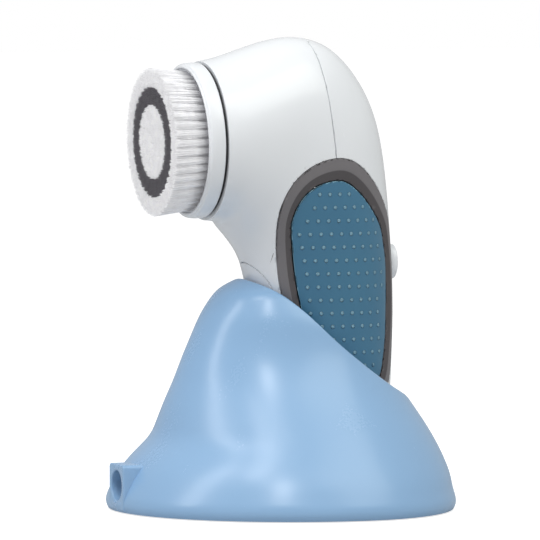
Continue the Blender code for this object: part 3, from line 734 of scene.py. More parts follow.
SLOT_FINISH = {
    "stand_blue": "stand_satin_blue", "shell_white": "gloss_white", "grip_grey": "grip_frame_grey",
    "pad_blue": "soft_pad_blue", "bristle_white": "nylon_white", "bristle_grey": "nylon_grey",
    "nose_grey": "nose_dark", "rubber": "black_rubber", "steel": "bright_steel",
    "bronze": "sintered_bronze", "board_green": "board_green", "copper": "copper_winding",
    "gear_nylon": "natural_nylon", "cell_sleeve": "cell_sleeve_green", "black_plastic": "black_moulding",
}


class Palette:
    """Every finish of the object, by the slot that it belongs to."""

    def __init__(self) -> None:
        """Builds the node groups and the materials."""
        effects = Effects()
        made = {finish.name: finish.build(effects) for finish in FINISHES}
        self.by_slot = {slot: made[name] for slot, name in SLOT_FINISH.items()}

    def dress_frame(self) -> None:
        """Gives every node of the frame the finish of its slot."""
        slots = {part["node"]: part["material_slot"] for part in frame["record"]["subparts"]}
        for name, node in frame["nodes"].items():
            node.data.materials.clear()
            node.data.materials.append(self.by_slot[slots[name]])


class Workshop:
    """Turns finished meshes into pieces of the object."""

    def __init__(self, palette: Palette) -> None:
        """Keeps the palette that the pieces are finished with."""
        self.palette = palette

    def piece(
        self, name: str, bm: bmesh.types.BMesh, body: Body, slot: str, replaces: Iterable[str] = (),
        sharp: float = 40.0,
    ) -> bpy.types.Object:
        """Writes a mesh as a piece, in metres, and puts it on its body.

        Args:
            name: The piece's name.
            bm: Its mesh in millimetres, which is used up.
            body: The body that it rides on.
            slot: The material slot that it takes its finish from.
            replaces: The nodes of the frame that it stands for.
            sharp: The angle in degrees from which an edge is shaded sharp.

        Returns:
            The piece.
        """
        bmesh.ops.scale(bm, vec=(MM, MM, MM), verts=bm.verts)
        mesh = bpy.data.meshes.new(name)
        bm.to_mesh(mesh)
        bm.free()
        mesh.shade_smooth()
        mesh.set_sharp_from_angle(angle=math.radians(sharp))
        mesh.materials.append(self.palette.by_slot[slot])
        made = bpy.data.objects.new(name, mesh)
        bpy.context.scene.collection.objects.link(made)
        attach(made, body.value)
        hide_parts(*replaces)
        log.info("%s: %d faces on %s", name, len(mesh.polygons), body.value)
        return made

    @staticmethod
    def thicken(piece: bpy.types.Object, wall: float, outwards: bool = False) -> None:
        """Gives an open surface a wall.

        Args:
            piece: The piece.
            wall: The wall's thickness in millimetres.
            outwards: Whether it grows out of the surface and not into it.
        """
        step = piece.modifiers.new("wall", "SOLIDIFY")
        step.thickness = wall * MM
        step.offset = 1.0 if outwards else -1.0

    @staticmethod
    def soften(piece: bpy.types.Object, width: float, segments: int = 2) -> None:
        """Rounds a piece's sharp edges.

        Args:
            piece: The piece.
            width: The width of the rounding in millimetres.
            segments: How many steps it takes.
        """
        step = piece.modifiers.new("edges", "BEVEL")
        step.width = width * MM
        step.segments = segments
        step.limit_method = "ANGLE"
        step.angle_limit = math.radians(50)
        step.use_clamp_overlap = False
        step.harden_normals = True


def set_attribute(mesh: bpy.types.Mesh, name: str, values: np.ndarray) -> None:
    """Stores a value at each point of a mesh."""
    made = mesh.attributes.new(name, "FLOAT", "POINT")
    made.data.foreach_set("value", np.asarray(values, np.float32))


# ------------------------------------------------------------------ the handset
@dataclass(frozen=True)
class HandsetForm:
    """The handset's outer form, lofted from the head down to the foot of the handle.

    Each station holds Y and Z on the outer line, Y and Z on the inner line, and the
    half width across X.
    """

    stations: tuple[tuple[float, ...], ...] = (
        (-26.15, 138.3, -24.85, 89.3, 24.6), (-20.9, 139.4, -20.9, 88.7, 24.8),
        (-12.2, 142.1, -18.6, 86.3, 24.5), (-3.9, 144.5, -16.9, 84.1, 24.1),
        (5.0, 145.4, -15.6, 82.4, 23.6), (14.2, 142.8, -14.4, 80.7, 23.0),
        (22.2, 135.6, -13.3, 79.0, 22.5), (28.2, 125.6, -12.4, 77.3, 22.0),
        (31.6, 114.5, -11.6, 75.5, 21.4), (33.6, 101.0, -11.0, 73.6, 20.8),
        (34.9, 87.0, -10.4, 71.2, 20.2), (35.8, 72.0, -9.7, 67.5, 19.5),
        (36.1, 58.0, -8.2, 58.0, 18.7), (35.8, 45.0, -5.6, 45.0, 18.2),
        (35.1, 32.0, -2.6, 32.0, 17.6), (33.8, 20.5, 0.7, 20.5, 16.6),
        (32.2, 15.6, 3.2, 15.6, 14.9), (29.6, 13.4, 6.2, 13.4, 12.2),
        (26.4, 13.0, 9.4, 13.0, 9.0),
    )
    head_roundness: float = 2.0
    grip_roundness: float = 2.2
    around: int = 208
    rows: int = 230
    foot_rows: int = 8
    foot_dome: float = 0.2
    middle: tuple[float, float, float] = (0.0, 12.0, 85.0)

    def curve(self) -> SmoothCurve:
        """The curve through the stations."""
        return SmoothCurve(self.stations)

    def surface(self, place: np.ndarray, angle: np.ndarray, grow: float = 0.0) -> np.ndarray:
        """Points on the form.

        Args:
            place: Places along the stations' curve.
            angle: Angles round the section, 0 at the inner line.
            grow: How far outside the form the points are.

        Returns:
            The points, of the same shape as place with three values each.
        """
        curve = self.curve()
        row = curve.at(place)
        across = row[..., 0:2] - row[..., 2:4]
        length = np.linalg.norm(across, axis=-1)
        index = np.interp(place, curve.knots, np.arange(len(curve.knots)))
        blend = np.clip((index - 1) / 8, 0, 1)
        power = 2 / (self.head_roundness + (self.grip_roundness - self.head_roundness) * blend)
        depth = -(length / 2 + grow) * signed_power(np.cos(angle), power)
        x = (row[..., 4] + grow) * signed_power(np.sin(angle), power)
        centre = (row[..., 0:2] + row[..., 2:4]) / 2
        side = centre + across / length[..., None] * depth[..., None]
        return np.concatenate([x[..., None], side], axis=-1)

    def places(self) -> np.ndarray:
        """Places along the curve that are evenly spaced along the outer line."""
        curve = self.curve()
        fine = np.linspace(0, curve.knots[-1], 2000)
        line = curve.at(fine)[:, :4]
        steps = np.linalg.norm(np.diff(line[:, :2], axis=0), axis=1)
        steps += 0.35 * np.linalg.norm(np.diff(line[:, 2:], axis=0), axis=1)
        run = np.concatenate([[0.0], np.cumsum(steps)])
        return np.interp(np.linspace(0, run[-1], self.rows), run, fine)

    def skin(self, grow: float = 0.0, foot_drop: float = 0.0) -> bmesh.types.BMesh:
        """The whole outer surface, open at the head.

        Args:
            grow: How far outside the form it lies.
            foot_drop: How far its foot is drawn down.

        Returns:
            The surface.
        """
        angle = np.linspace(0, math.tau, self.around, endpoint=False)
        grid_place, grid_angle = np.meshgrid(self.places(), angle, indexing="ij")
        rings = list(self.surface(grid_place, grid_angle, grow))
        foot = rings[-1]
        centre = foot.mean(axis=0)
        for i in range(1, self.foot_rows + 1):
            share = math.cos(math.pi / 2 * i / self.foot_rows)
            ring = centre + (foot - centre) * share
            ring[:, 2] -= self.foot_dome * (1 - share * share) + foot_drop * min(1.0, i / 3)
            rings.append(ring)
        bm = sheet(np.array(rings))
        face_away(bm, self.middle)
        return bm

    def on_side(self, height: float, side: Side, count: int = 181) -> np.ndarray:
        """Points round one side of the form at one height, from front to back.

        Args:
            height: The height.
            side: Which side.
            count: How many points.

        Returns:
            The points.
        """
        angle = np.linspace(0, math.pi, count) * side.value
        low, high = np.zeros(count), np.full(count, self.curve().knots[-1])
        for _ in range(40):
            place = (low + high) / 2
            above = self.surface(place, angle)[:, 2] > height
            low, high = np.where(above, place, low), np.where(above, high, place)
        return self.surface((low + high) / 2, angle)


@dataclass(frozen=True)
class Grip:
    """The frame and the soft pad let into each side of the handle."""

    outline: tuple[tuple[float, float], ...] = (
        (12.0, 108.6), (1.6, 105.8), (-5.0, 98.8), (-7.2, 90.5), (-6.8, 82.0), (-5.4, 72.0),
        (-3.3, 62.0), (-0.4, 50.0), (3.0, 39.5), (8.6, 31.4), (16.5, 28.2), (25.0, 30.4),
        (30.6, 36.0), (33.4, 42.5), (34.9, 50.0), (37.0, 60.0), (37.0, 72.0), (34.7, 80.0),
        (32.8, 87.5), (29.0, 95.2), (24.4, 101.4), (18.8, 106.4),
    )
    spine: float = 7.0
    corner: float = 5.0
    band: tuple[float, float, float] = (2.3, 3.4, 3.2)
    inset: tuple[float, float, float] = (4.0, 6.8, 5.5)
    recess_gap: float = 0.12
    frame_rise: float = 0.10
    frame_drop: float = 1.0
    pad_gap: float = 0.15
    pad_drop: float = 0.85
    pad_crown: float = 0.45
    pad_crown_run: float = 3.5
    wall: float = 1.2
    dot_radius: float = 0.36
    dot_rise: float = 0.26
    dot_pitch: float = 3.4
    dot_row: float = 4.08
    dot_top: float = 97.6
    dot_rows: int = 17
    dot_margin: float = 1.9

    def region(self, side: Side, steps: tuple[float, float, float] = (0.0, 0.0, 0.0)) -> Field:
        """The region that the grip covers, moved inwards.

        Args:
            side: Which side of the handle.
            steps: How far it moves in at its sides, at its top and at the bare spine.

        Returns:
            Its field, negative inside.
        """
        loop = inset_loop(closed_loop(self.outline), steps[0], steps[1])
        edge = self.spine + steps[2]
        corner = max(self.corner - steps[0], 1.0)

        def field(points: np.ndarray) -> np.ndarray:
            """Distance from the edge of the grip's region."""
            outline = loop_distance(points[:, 1:], loop)
            return rounded_overlap(outline, edge - points[:, 0] * side.value, corner)

        return field


@dataclass(frozen=True)
class FrontCover:
    """The arched cover let into the front of the handle."""

    top: float = 76.0
    foot: float = 20.0
    half_width: float = 11.0
    arch: float = 0.8
    corner: float = 2.0
    seam: float = 0.12
    wall: float = 1.2
    behind: float = 12.0

    def region(self, grow: float) -> Field:
        """The region that it covers, as seen from the front.

        Args:
            grow: How far the region is grown.

        Returns:
            Its field, negative inside.
        """
        steps = 24
        arch = [math.pi * i / steps for i in range(steps + 1)]
        spring = self.top - self.half_width * self.arch
        rise = self.half_width * self.arch
        loop = [(self.half_width * math.cos(a), spring + rise * math.sin(a)) for a in arch]
        loop += [(-self.half_width * 0.85, self.foot), (self.half_width * 0.85, self.foot)]
        outline = np.array(loop)

        def field(points: np.ndarray) -> np.ndarray:
            """Distance from the cover's outline, on the front half only."""
            seen = loop_distance(points[:, [0, 2]], outline) - grow
            return np.maximum(seen, points[:, 1] - self.behind)

        return field


@dataclass(frozen=True)
class PowerButton:
    """The oval button in the back of the handle."""

    height: float = 75.5
    half_width: float = 4.6
    half_height: float = 5.4
    face: float = 38.2
    back: float = 34.2
    dome: float = 0.9
    dish: float = 0.84
    skirt: float = 0.87
    side: tuple[tuple[float, float], ...] = (
        (0.93, -0.3), (0.985, -0.45), (1.0, -0.75), (1.0, -2.2), (0.88, -2.9),
    )
    gap: float = 0.3
    ahead: float = 20.0

    def region(self, grow: float) -> Field:
        """The region that it covers, as seen from behind.

        Args:
            grow: How far the region is grown.

        Returns:
            Its field, negative inside.
        """
        def field(points: np.ndarray) -> np.ndarray:
            """Distance from the button's outline, on the back half only."""
            across = np.hypot(
                points[:, 0] / (self.half_width + grow),
                (points[:, 2] - self.height) / (self.half_height + grow),
            )
            return np.maximum((across - 1) * self.half_width, self.ahead - points[:, 1])

        return field


@dataclass(frozen=True)
class Handset:
    """The two housings, what is let into them, and the nose of the head."""

    shop: Workshop
    form: HandsetForm = HandsetForm()
    grip: Grip = Grip()
    cover: FrontCover = FrontCover()
    button: PowerButton = PowerButton()
    parting_top: float = 6.8
    parting_lean: float = 0.1
    top: float = 145.4
    seam: float = 0.24
    wall: float = 1.9
    weld: float = 0.02
    soft_edge: float = 0.16

    def parting(self, points: np.ndarray) -> np.ndarray:
        """Distance behind the parting plane."""
        return points[:, 1] - self.parting_top - self.parting_lean * (self.top - points[:, 2])

    def build(self) -> None:
        """Builds every piece of the handset."""
        self.build_housings()
        for side in Side:
            self.build_frame(side)
            self.build_pad(side)
        self.build_cover()
        self.build_button()
        self.build_nose()

    def build_housings(self) -> None:
        """The front and rear halves of the casing, each open where a piece is let in."""
        halves = (("front_casing", "front_housing", True), ("rear_casing", "rear_housing", False))
        for name, node, front in halves:
            bm = self.form.skin()
            sign = 1 if front else -1
            keep_inside(bm, lambda points: sign * self.parting(points) + self.seam / 2)
            for side in Side:
                keep_outside(bm, self.grown(self.grip.region(side), self.grip.recess_gap))
            let_in = self.cover.region(self.cover.seam) if front else self.button.region(self.button.gap)
            keep_outside(bm, let_in)
            bmesh.ops.remove_doubles(bm, verts=bm.verts, dist=self.weld)
            made = self.shop.piece(name, bm, Body.HANDSET, "shell_white", [node], sharp=60)
            self.shop.thicken(made, self.wall)
            self.shop.soften(made, self.soft_edge)

    @staticmethod
    def grown(field: Field, distance: float) -> Field:
        """A region grown by a distance."""
        return lambda points: field(points) - distance

    def patch(self, *keep: Field, drop: Sequence[Field] = ()) -> bmesh.types.BMesh:
        """The part of the skin that lies in some regions and outside others."""
        bm = self.form.skin()
        for field in keep:
            keep_inside(bm, field)
        for field in drop:
            keep_outside(bm, field)
        bmesh.ops.remove_doubles(bm, verts=bm.verts, dist=self.weld)
        return bm

    @staticmethod
    def raise_skin(bm: bmesh.types.BMesh, rise: np.ndarray) -> None:
        """Moves each point of a surface out along its normal."""
        bm.normal_update()
        moves = [vert.normal * float(step) for vert, step in zip(bm.verts, rise)]
        for vert, move in zip(bm.verts, moves):
            vert.co += move

    def build_frame(self, side: Side) -> None:
        """The grey frame: a flat outer band and an inner band that slopes to the pad.

        Args:
            side: Which side of the handle.
        """
        grip = self.grip
        middle, inner = grip.region(side, grip.band), grip.region(side, grip.inset)
        bm = self.patch(grip.region(side), drop=[inner])
        score(bm, middle)
        points = coordinates(bm)
        past, left = np.maximum(-middle(points), 0), np.maximum(inner(points), 0)
        band = past / (past + left + 1e-6)
        self.raise_skin(bm, grip.frame_rise - grip.frame_drop * band)
        hand = side.name.lower()
        made = self.shop.piece(
            f"grip_surround_{hand}", bm, Body.HANDSET, "grip_grey", [f"grip_frame_{hand}"], sharp=60
        )
        set_attribute(made.data, "band", band)
        self.shop.thicken(made, grip.wall)
        self.shop.soften(made, 0.35, 3)

    def build_pad(self, side: Side) -> None:
        """The soft pad with its rows of raised dots.

        Args:
            side: Which side of the handle.
        """
        grip = self.grip
        region = grip.region(side, grip.inset)
        bm = self.patch(self.grown(region, -grip.pad_gap))
        depth = np.maximum(-region(coordinates(bm)) - grip.pad_gap, 0)
        self.raise_skin(bm, grip.pad_crown * (1 - np.exp(-depth / grip.pad_crown_run)) - grip.pad_drop)
        hand = side.name.lower()
        skin_points = len(bm.verts)
        self.add_dots(bm, side, region)
        points = len(bm.verts)
        made = self.shop.piece(
            f"grip_cushion_{hand}", bm, Body.HANDSET, "pad_blue", [f"grip_pad_{hand}"], sharp=60
        )
        # The dots are marked so that the pad's finish paints them paler, as a painted highlight.
        set_attribute(made.data, "dot", np.arange(points) >= skin_points)
        self.shop.thicken(made, grip.wall)
        self.shop.soften(made, 0.25)

    def add_dots(self, bm: bmesh.types.BMesh, side: Side, region: Field) -> None:
        """Adds the pad's raised dots, in level rows an even arc apart.

        Args:
            bm: The pad's mesh.
            side: Which side of the handle.
            region: The pad's region.
        """
        grip = self.grip
        for row in range(grip.dot_rows):
            line = self.form.on_side(grip.dot_top - row * grip.dot_row, side)
            run = np.concatenate([[0.0], np.cumsum(np.linalg.norm(np.diff(line, axis=0), axis=1))])
            middle = run[np.argmax(np.abs(line[:, 0]))]
            reach = int(run[-1] / grip.dot_pitch)
            for step in range(-reach, reach + 1):
                target = middle + step * grip.dot_pitch
                if not run[2] < target < run[-3]:
                    continue
                place, ahead = [
                    Vector([np.interp(target + shift, run, line[:, axis]) for axis in range(3)])
                    for shift in (0.0, 0.4)
                ]
                margin = float(region(np.array([place[:]]))[0])
                if margin > -grip.dot_margin:
                    continue
                outwards = (ahead - place).cross(Vector((0, 0, 1))).normalized()
                outwards *= math.copysign(1, outwards.x * side.value)
                drop = grip.pad_crown * (1 - math.exp(margin / grip.pad_crown_run)) - grip.pad_drop
                self.add_dome(bm, place + outwards * (drop - 0.04), outwards)

    def add_dome(self, bm: bmesh.types.BMesh, place: Vector, outwards: Vector) -> None:
        """Adds one low dome.

        Args:
            bm: The pad's mesh.
            place: Where the dot stands.
            outwards: The way that it faces.
        """
        turn = outwards.to_track_quat("Z", "Y").to_matrix().to_4x4()
        grip = self.grip
        size = Matrix.Diagonal((grip.dot_radius, grip.dot_radius, grip.dot_rise, 1))
        dome = bmesh.ops.create_uvsphere(
            bm, u_segments=8, v_segments=6, radius=1.0, matrix=Matrix.Translation(place) @ turn @ size,
        )
        hidden = [vert for vert in dome["verts"] if (vert.co - place).dot(outwards) < -0.02]
        bmesh.ops.delete(bm, geom=hidden, context="VERTS")

    def build_cover(self) -> None:
        """The front cover, flush with the casing round it."""
        bm = self.patch(self.cover.region(0.0))
        made = self.shop.piece("handle_cover", bm, Body.HANDSET, "shell_white", ["front_cover"], sharp=60)
        self.shop.thicken(made, self.cover.wall)
        self.shop.soften(made, self.soft_edge)

    def build_button(self) -> None:
        """The button, crowned and with a soft edge."""
        button = self.button
        hollow = -button.dome * 0.55
        profile = [(0.0, hollow)]
        steps = 8
        profile += [
            (button.dish * i / steps, button.dome * (0.25 * (i / steps) ** 2) + hollow)
            for i in range(1, steps + 1)
        ]
        depth = button.back - button.face
        profile += button.side
        profile += [(button.skirt, depth), (0.0, depth)]
        bm = turned(profile, 72)
        face_away(bm, (0, 0, (button.back - button.face) / 2))
        for vert in bm.verts:
            x, y, z = vert.co
            vert.co = (x * button.half_width, button.face + z, button.height - y * button.half_height)
        bmesh.ops.recalc_face_normals(bm, faces=bm.faces)
        self.shop.piece("button_cap", bm, Body.BUTTON, "shell_white", ["power_button"])

    def build_nose(self) -> None:
        """The dark plate that closes the head behind the brush, with its raised rings; its near-black colour on
        the flange is painted shade in the gap between hub and casing.
        """
        profile = rounded_profile([
            (6.3, -0.2, 0), (8.0, -0.2, 0.1), (8.0, -0.6, 0.1), (12.6, -0.6, 0.1), (12.6, -0.2, 0.1),
            (19.6, -0.2, 0.1), (19.6, -0.5, 0.1), (21.0, -0.5, 0.1), (21.0, 0.35, 0.1), (23.3, 0.35, 0.15),
            (23.3, 0.1, 0.1), (21.9, 0.1, 0.05), (21.9, -2.6, 0.1), (6.3, -2.6, 0.1), (6.3, -0.2, 0),
        ])
        bm = turned(profile, 128)
        head = BrushHead.placement()
        bmesh.ops.transform(bm, matrix=head, verts=bm.verts)
        self.shop.piece("nose_disc", bm, Body.HANDSET, "nose_grey", ["nose_plate"])


# ------------------------------------------------------------------ the brush head
@dataclass(frozen=True)
class TuftRing:
    """One ring of tufts: where it is rooted, where it ends, and how far each tuft opens."""

    root_radius: float
    tip_radius: float
    count: int
    root_spread: float = 0.8
    tip_spread: float = 1.5


@dataclass(frozen=True)
class BrushHead:
    """The hub that plugs onto the spindle and its rings of bristles."""

    shop: Workshop
    rim_radius: float = 24.0
    rim_back: float = 0.75
    rim_front: float = 6.0
    root: float = 5.2
    face: float = 16.5
    rim_crown: float = 3.5
    lip: tuple[float, float] = (22.3, 22.9)
    underside: float = 2.4
    socket: float = 4.7
    socket_roof: float = 0.5
    strand_radius: float = 0.12
    strand_sides: int = 5
    strand_taper: float = 0.8
    strands: int = 56
    core: float = 0.8
    core_drop: float = 0.5
    core_sides: int = 10
    patterns: int = 3
    outer: tuple[TuftRing, ...] = (
        TuftRing(20.6, 20.9, 48, 0.85, 1.95), TuftRing(18.6, 19.2, 42, 0.9, 1.8),
        TuftRing(17.0, 18.4, 38, 0.9, 1.5),
    )
    grey: tuple[TuftRing, ...] = (TuftRing(15.2, 15.4, 34, 0.8, 1.65), TuftRing(13.0, 13.1, 29, 0.8, 1.65))
    inner: tuple[TuftRing, ...] = (
        TuftRing(9.8, 9.8, 22, 0.8, 1.75), TuftRing(7.3, 7.4, 16, 0.8, 2.0),
        TuftRing(4.9, 5.0, 11, 0.8, 1.9),
        TuftRing(2.5, 2.5, 5, 0.8, 1.75),
    )

    @staticmethod
    def placement() -> Matrix:
        """From a piece's own axis to the brush axis, in millimetres."""
        joint = next(joint for joint in frame["joints"] if joint["name"] == "spindle_spin")
        outwards = Vector(joint["axis"]).normalized()
        across = Vector((1, 0, 0))
        turn = Matrix((across, outwards.cross(across), outwards)).transposed()
        return Matrix.Translation(Vector(joint["pos_m"]) / MM) @ turn.to_4x4()

    def build(self) -> None:
        """Builds the hub and the three zones of bristles."""
        self.build_hub()
        self.build_zone("white_outer_tufts", "outer_bristles", "bristle_white", self.outer)
        self.build_zone("grey_ring_tufts", "grey_bristles", "bristle_grey", self.grey)
        self.build_zone("white_inner_tufts", "inner_bristles", "bristle_white", self.inner)

    def build_hub(self) -> None:
        """The hub: a crowned rim with a lip round the carrier of the bristles."""
        rim, back, front = self.rim_radius, self.rim_back, self.rim_front
        carrier = self.root
        lip_inner, lip_outer = self.lip
        roof = carrier - self.socket_roof
        profile = rounded_profile([
            (0.0, carrier, 0), (lip_inner - 0.3, carrier, 0.1), (lip_inner, front, 0.2),
            (lip_outer, front, 0.2), (lip_outer + 0.15, front - 0.4, 0.1), (rim - 0.3, front - 0.7, 0.4),
            (rim, self.rim_crown, 1.3), (rim - 0.1, back, 0.7), (21.4, back, 0.3),
            (21.0, self.underside, 0.3), (8.4, self.underside, 0.4), (8.0, back, 0.3),
            (self.socket, back, 0.3), (self.socket - 0.3, roof, 0.2), (0.0, roof, 0),
        ], 5)
        bm = turned(profile, 160)
        bmesh.ops.transform(bm, matrix=self.placement(), verts=bm.verts)
        self.shop.piece("hub_rim", bm, Body.BRUSH, "shell_white", ["brush_hub"])

    def tuft(self, ring: TuftRing, rng: random.Random) -> bpy.types.Mesh:
        """One tuft that stands on its own root and opens towards its tip.

        Args:
            ring: The ring that it belongs to.
            rng: The source of its small differences.

        Returns:
            The tuft's mesh, for its ring to copy.
        """
        bm = bmesh.new()
        length = self.face - self.root
        for i in range(self.strands):
            reach = math.sqrt((i + 0.5) / self.strands)
            angle = i * GOLDEN_ANGLE + rng.uniform(-0.15, 0.15)
            way = Vector((math.cos(angle), math.sin(angle), 0)) * reach
            lean = rng.uniform(-0.1, 0.1), rng.uniform(-0.1, 0.1), length + rng.uniform(-0.14, 0.08)
            self.add_strand(bm, way * ring.root_spread, way * ring.tip_spread + Vector(lean))
        depth = length - self.core_drop
        bmesh.ops.create_cone(
            bm, cap_ends=True, segments=self.core_sides, depth=depth,
            matrix=Matrix.Translation((0, 0, depth / 2)),
            radius1=ring.root_spread * self.core, radius2=ring.tip_spread * self.core,
        )
        mesh = bpy.data.meshes.new("tuft")
        bm.to_mesh(mesh)
        bm.free()
        return mesh

    def add_strand(self, bm: bmesh.types.BMesh, root: Vector, tip: Vector) -> None:
        """Adds one strand.

        Args:
            bm: The tuft's mesh.
            root: Where it starts.
            tip: Where it ends.
        """
        turn = (tip - root).to_track_quat("Z", "Y").to_matrix().to_4x4()
        bmesh.ops.create_cone(
            bm, cap_ends=True, segments=self.strand_sides, radius1=self.strand_radius,
            radius2=self.strand_radius * self.strand_taper, depth=(tip - root).length,
            matrix=Matrix.Translation((root + tip) / 2) @ turn,
        )

    def build_zone(self, name: str, node: str, slot: str, rings: Sequence[TuftRing]) -> None:
        """Builds one zone of the brush as a single piece.

        Args:
            name: The piece's name.
            node: The node that it stands for.
            slot: Its material slot.
            rings: Its rings of tufts.
        """
        rng = random.Random(SEED)
        bm = bmesh.new()
        for ring in rings:
            patterns = [self.tuft(ring, rng) for _ in range(self.patterns)]
            phase = rng.random()
            for i in range(ring.count):
                first = len(bm.verts)
                bm.from_mesh(patterns[rng.randrange(self.patterns)])
                bm.verts.ensure_lookup_table()
                angle = (i + phase + rng.uniform(-0.06, 0.06)) * math.tau / ring.count
                turn = Matrix.Rotation(angle, 4, "Z")
                roll = Matrix.Rotation(rng.uniform(0, math.tau), 4, "Z")
                slant = (ring.tip_radius - ring.root_radius) / (self.face - self.root)
                splay = Matrix.Shear("XY", 4, (slant, 0))
                place = turn @ Matrix.Translation((ring.root_radius, 0, self.root)) @ splay @ roll
                bmesh.ops.transform(bm, matrix=place, verts=bm.verts[first:])
            for mesh in patterns:
                bpy.data.meshes.remove(mesh)
        # reach runs from the roots to the face; the bristle finishes paint shade towards the roots along it.
        reach = (coordinates(bm)[:, 2] - self.root) / (self.face - self.root)
        bmesh.ops.transform(bm, matrix=self.placement(), verts=bm.verts)
        made = self.shop.piece(name, bm, Body.BRUSH, slot, [node], sharp=100)
        set_attribute(made.data, "reach", reach)


# ------------------------------------------------------------------ the stand
@dataclass(frozen=True)
class StandForm:
    """The stand's swooping outer form, by levels.

    Each level holds its height, its front and back Y, its half width, and the Y where
    it is widest.
    """

    levels: tuple[tuple[float, ...], ...] = (
        (0.4, -53.0, 53.0, 55.5, 7.5), (1.4, -53.5, 53.5, 56.0, 7.5), (6.0, -52.8, 53.1, 55.0, 7.5),
        (10.5, -50.4, 52.3, 52.6, 7.5), (15.0, -47.2, 50.9, 49.5, 7.5), (18.6, -43.7, 49.4, 46.7, 7.5),
        (22.0, -40.5, 47.7, 44.0, 7.5), (27.0, -38.2, 44.8, 39.9, 7.5), (34.0, -35.8, 40.2, 34.2, 7.2),
        (40.0, -33.4, 36.6, 29.8, 6.6), (46.0, -31.2, 33.4, 26.2, 5.6), (54.0, -27.8, 29.0, 23.2, 4.0),
        (60.0, -24.9, 24.0, 21.2, 1.5), (65.0, -21.6, 17.0, 18.2, -1.5), (68.6, -17.9, 8.0, 13.6, -4.5),
        (71.4, -12.9, -6.0, 4.0, -9.5),
    )
    rim_line: tuple[tuple[float, float], ...] = (
        (-60.0, 90.0), (-30.0, 80.0), (-12.6, 71.2), (-6.6, 67.9), (0.0, 62.5), (8.9, 53.9),
        (19.1, 45.4), (30.1, 38.0), (39.5, 34.0), (60.0, 26.0),
    )

    def curve(self) -> SmoothCurve:
        """The curve through the levels, by height."""
        return SmoothCurve(self.levels, [level[0] for level in self.levels])

    def rim(self, y: np.ndarray) -> np.ndarray:
        """The height of the rim at each Y."""
        line = SmoothCurve(self.rim_line, [point[0] for point in self.rim_line])
        return line.at(y)[..., 1]

    def ring(self, height: np.ndarray, angle: np.ndarray, grow: float = 0.0) -> np.ndarray:
        """Points on the outer form.

        Args:
            height: Their heights.
            angle: Their angles, 0 at the front.
            grow: How far outside the form they are.

        Returns:
            The points, of the same shape with three values each.
        """
        level = self.curve().at(height)
        front, back, half, widest = [level[..., i] for i in range(1, 5)]
        reach = np.where(np.cos(angle) > 0, widest - front, back - widest) + grow
        return np.stack([(half + grow) * np.sin(angle), widest - reach * np.cos(angle), height], axis=-1)

    def top(self, angle: np.ndarray) -> np.ndarray:
        """The height at which the outer form first meets the rim, at each angle."""
        heights = np.linspace(self.levels[0][0], self.levels[-1][0], 1400)
        place, turn = np.meshgrid(heights, angle, indexing="ij")
        over = self.rim(self.ring(place, turn)[..., 1]) - place
        met = over <= 0
        first = np.where(met.any(axis=0), met.argmax(axis=0), len(heights) - 1)
        return heights[first]


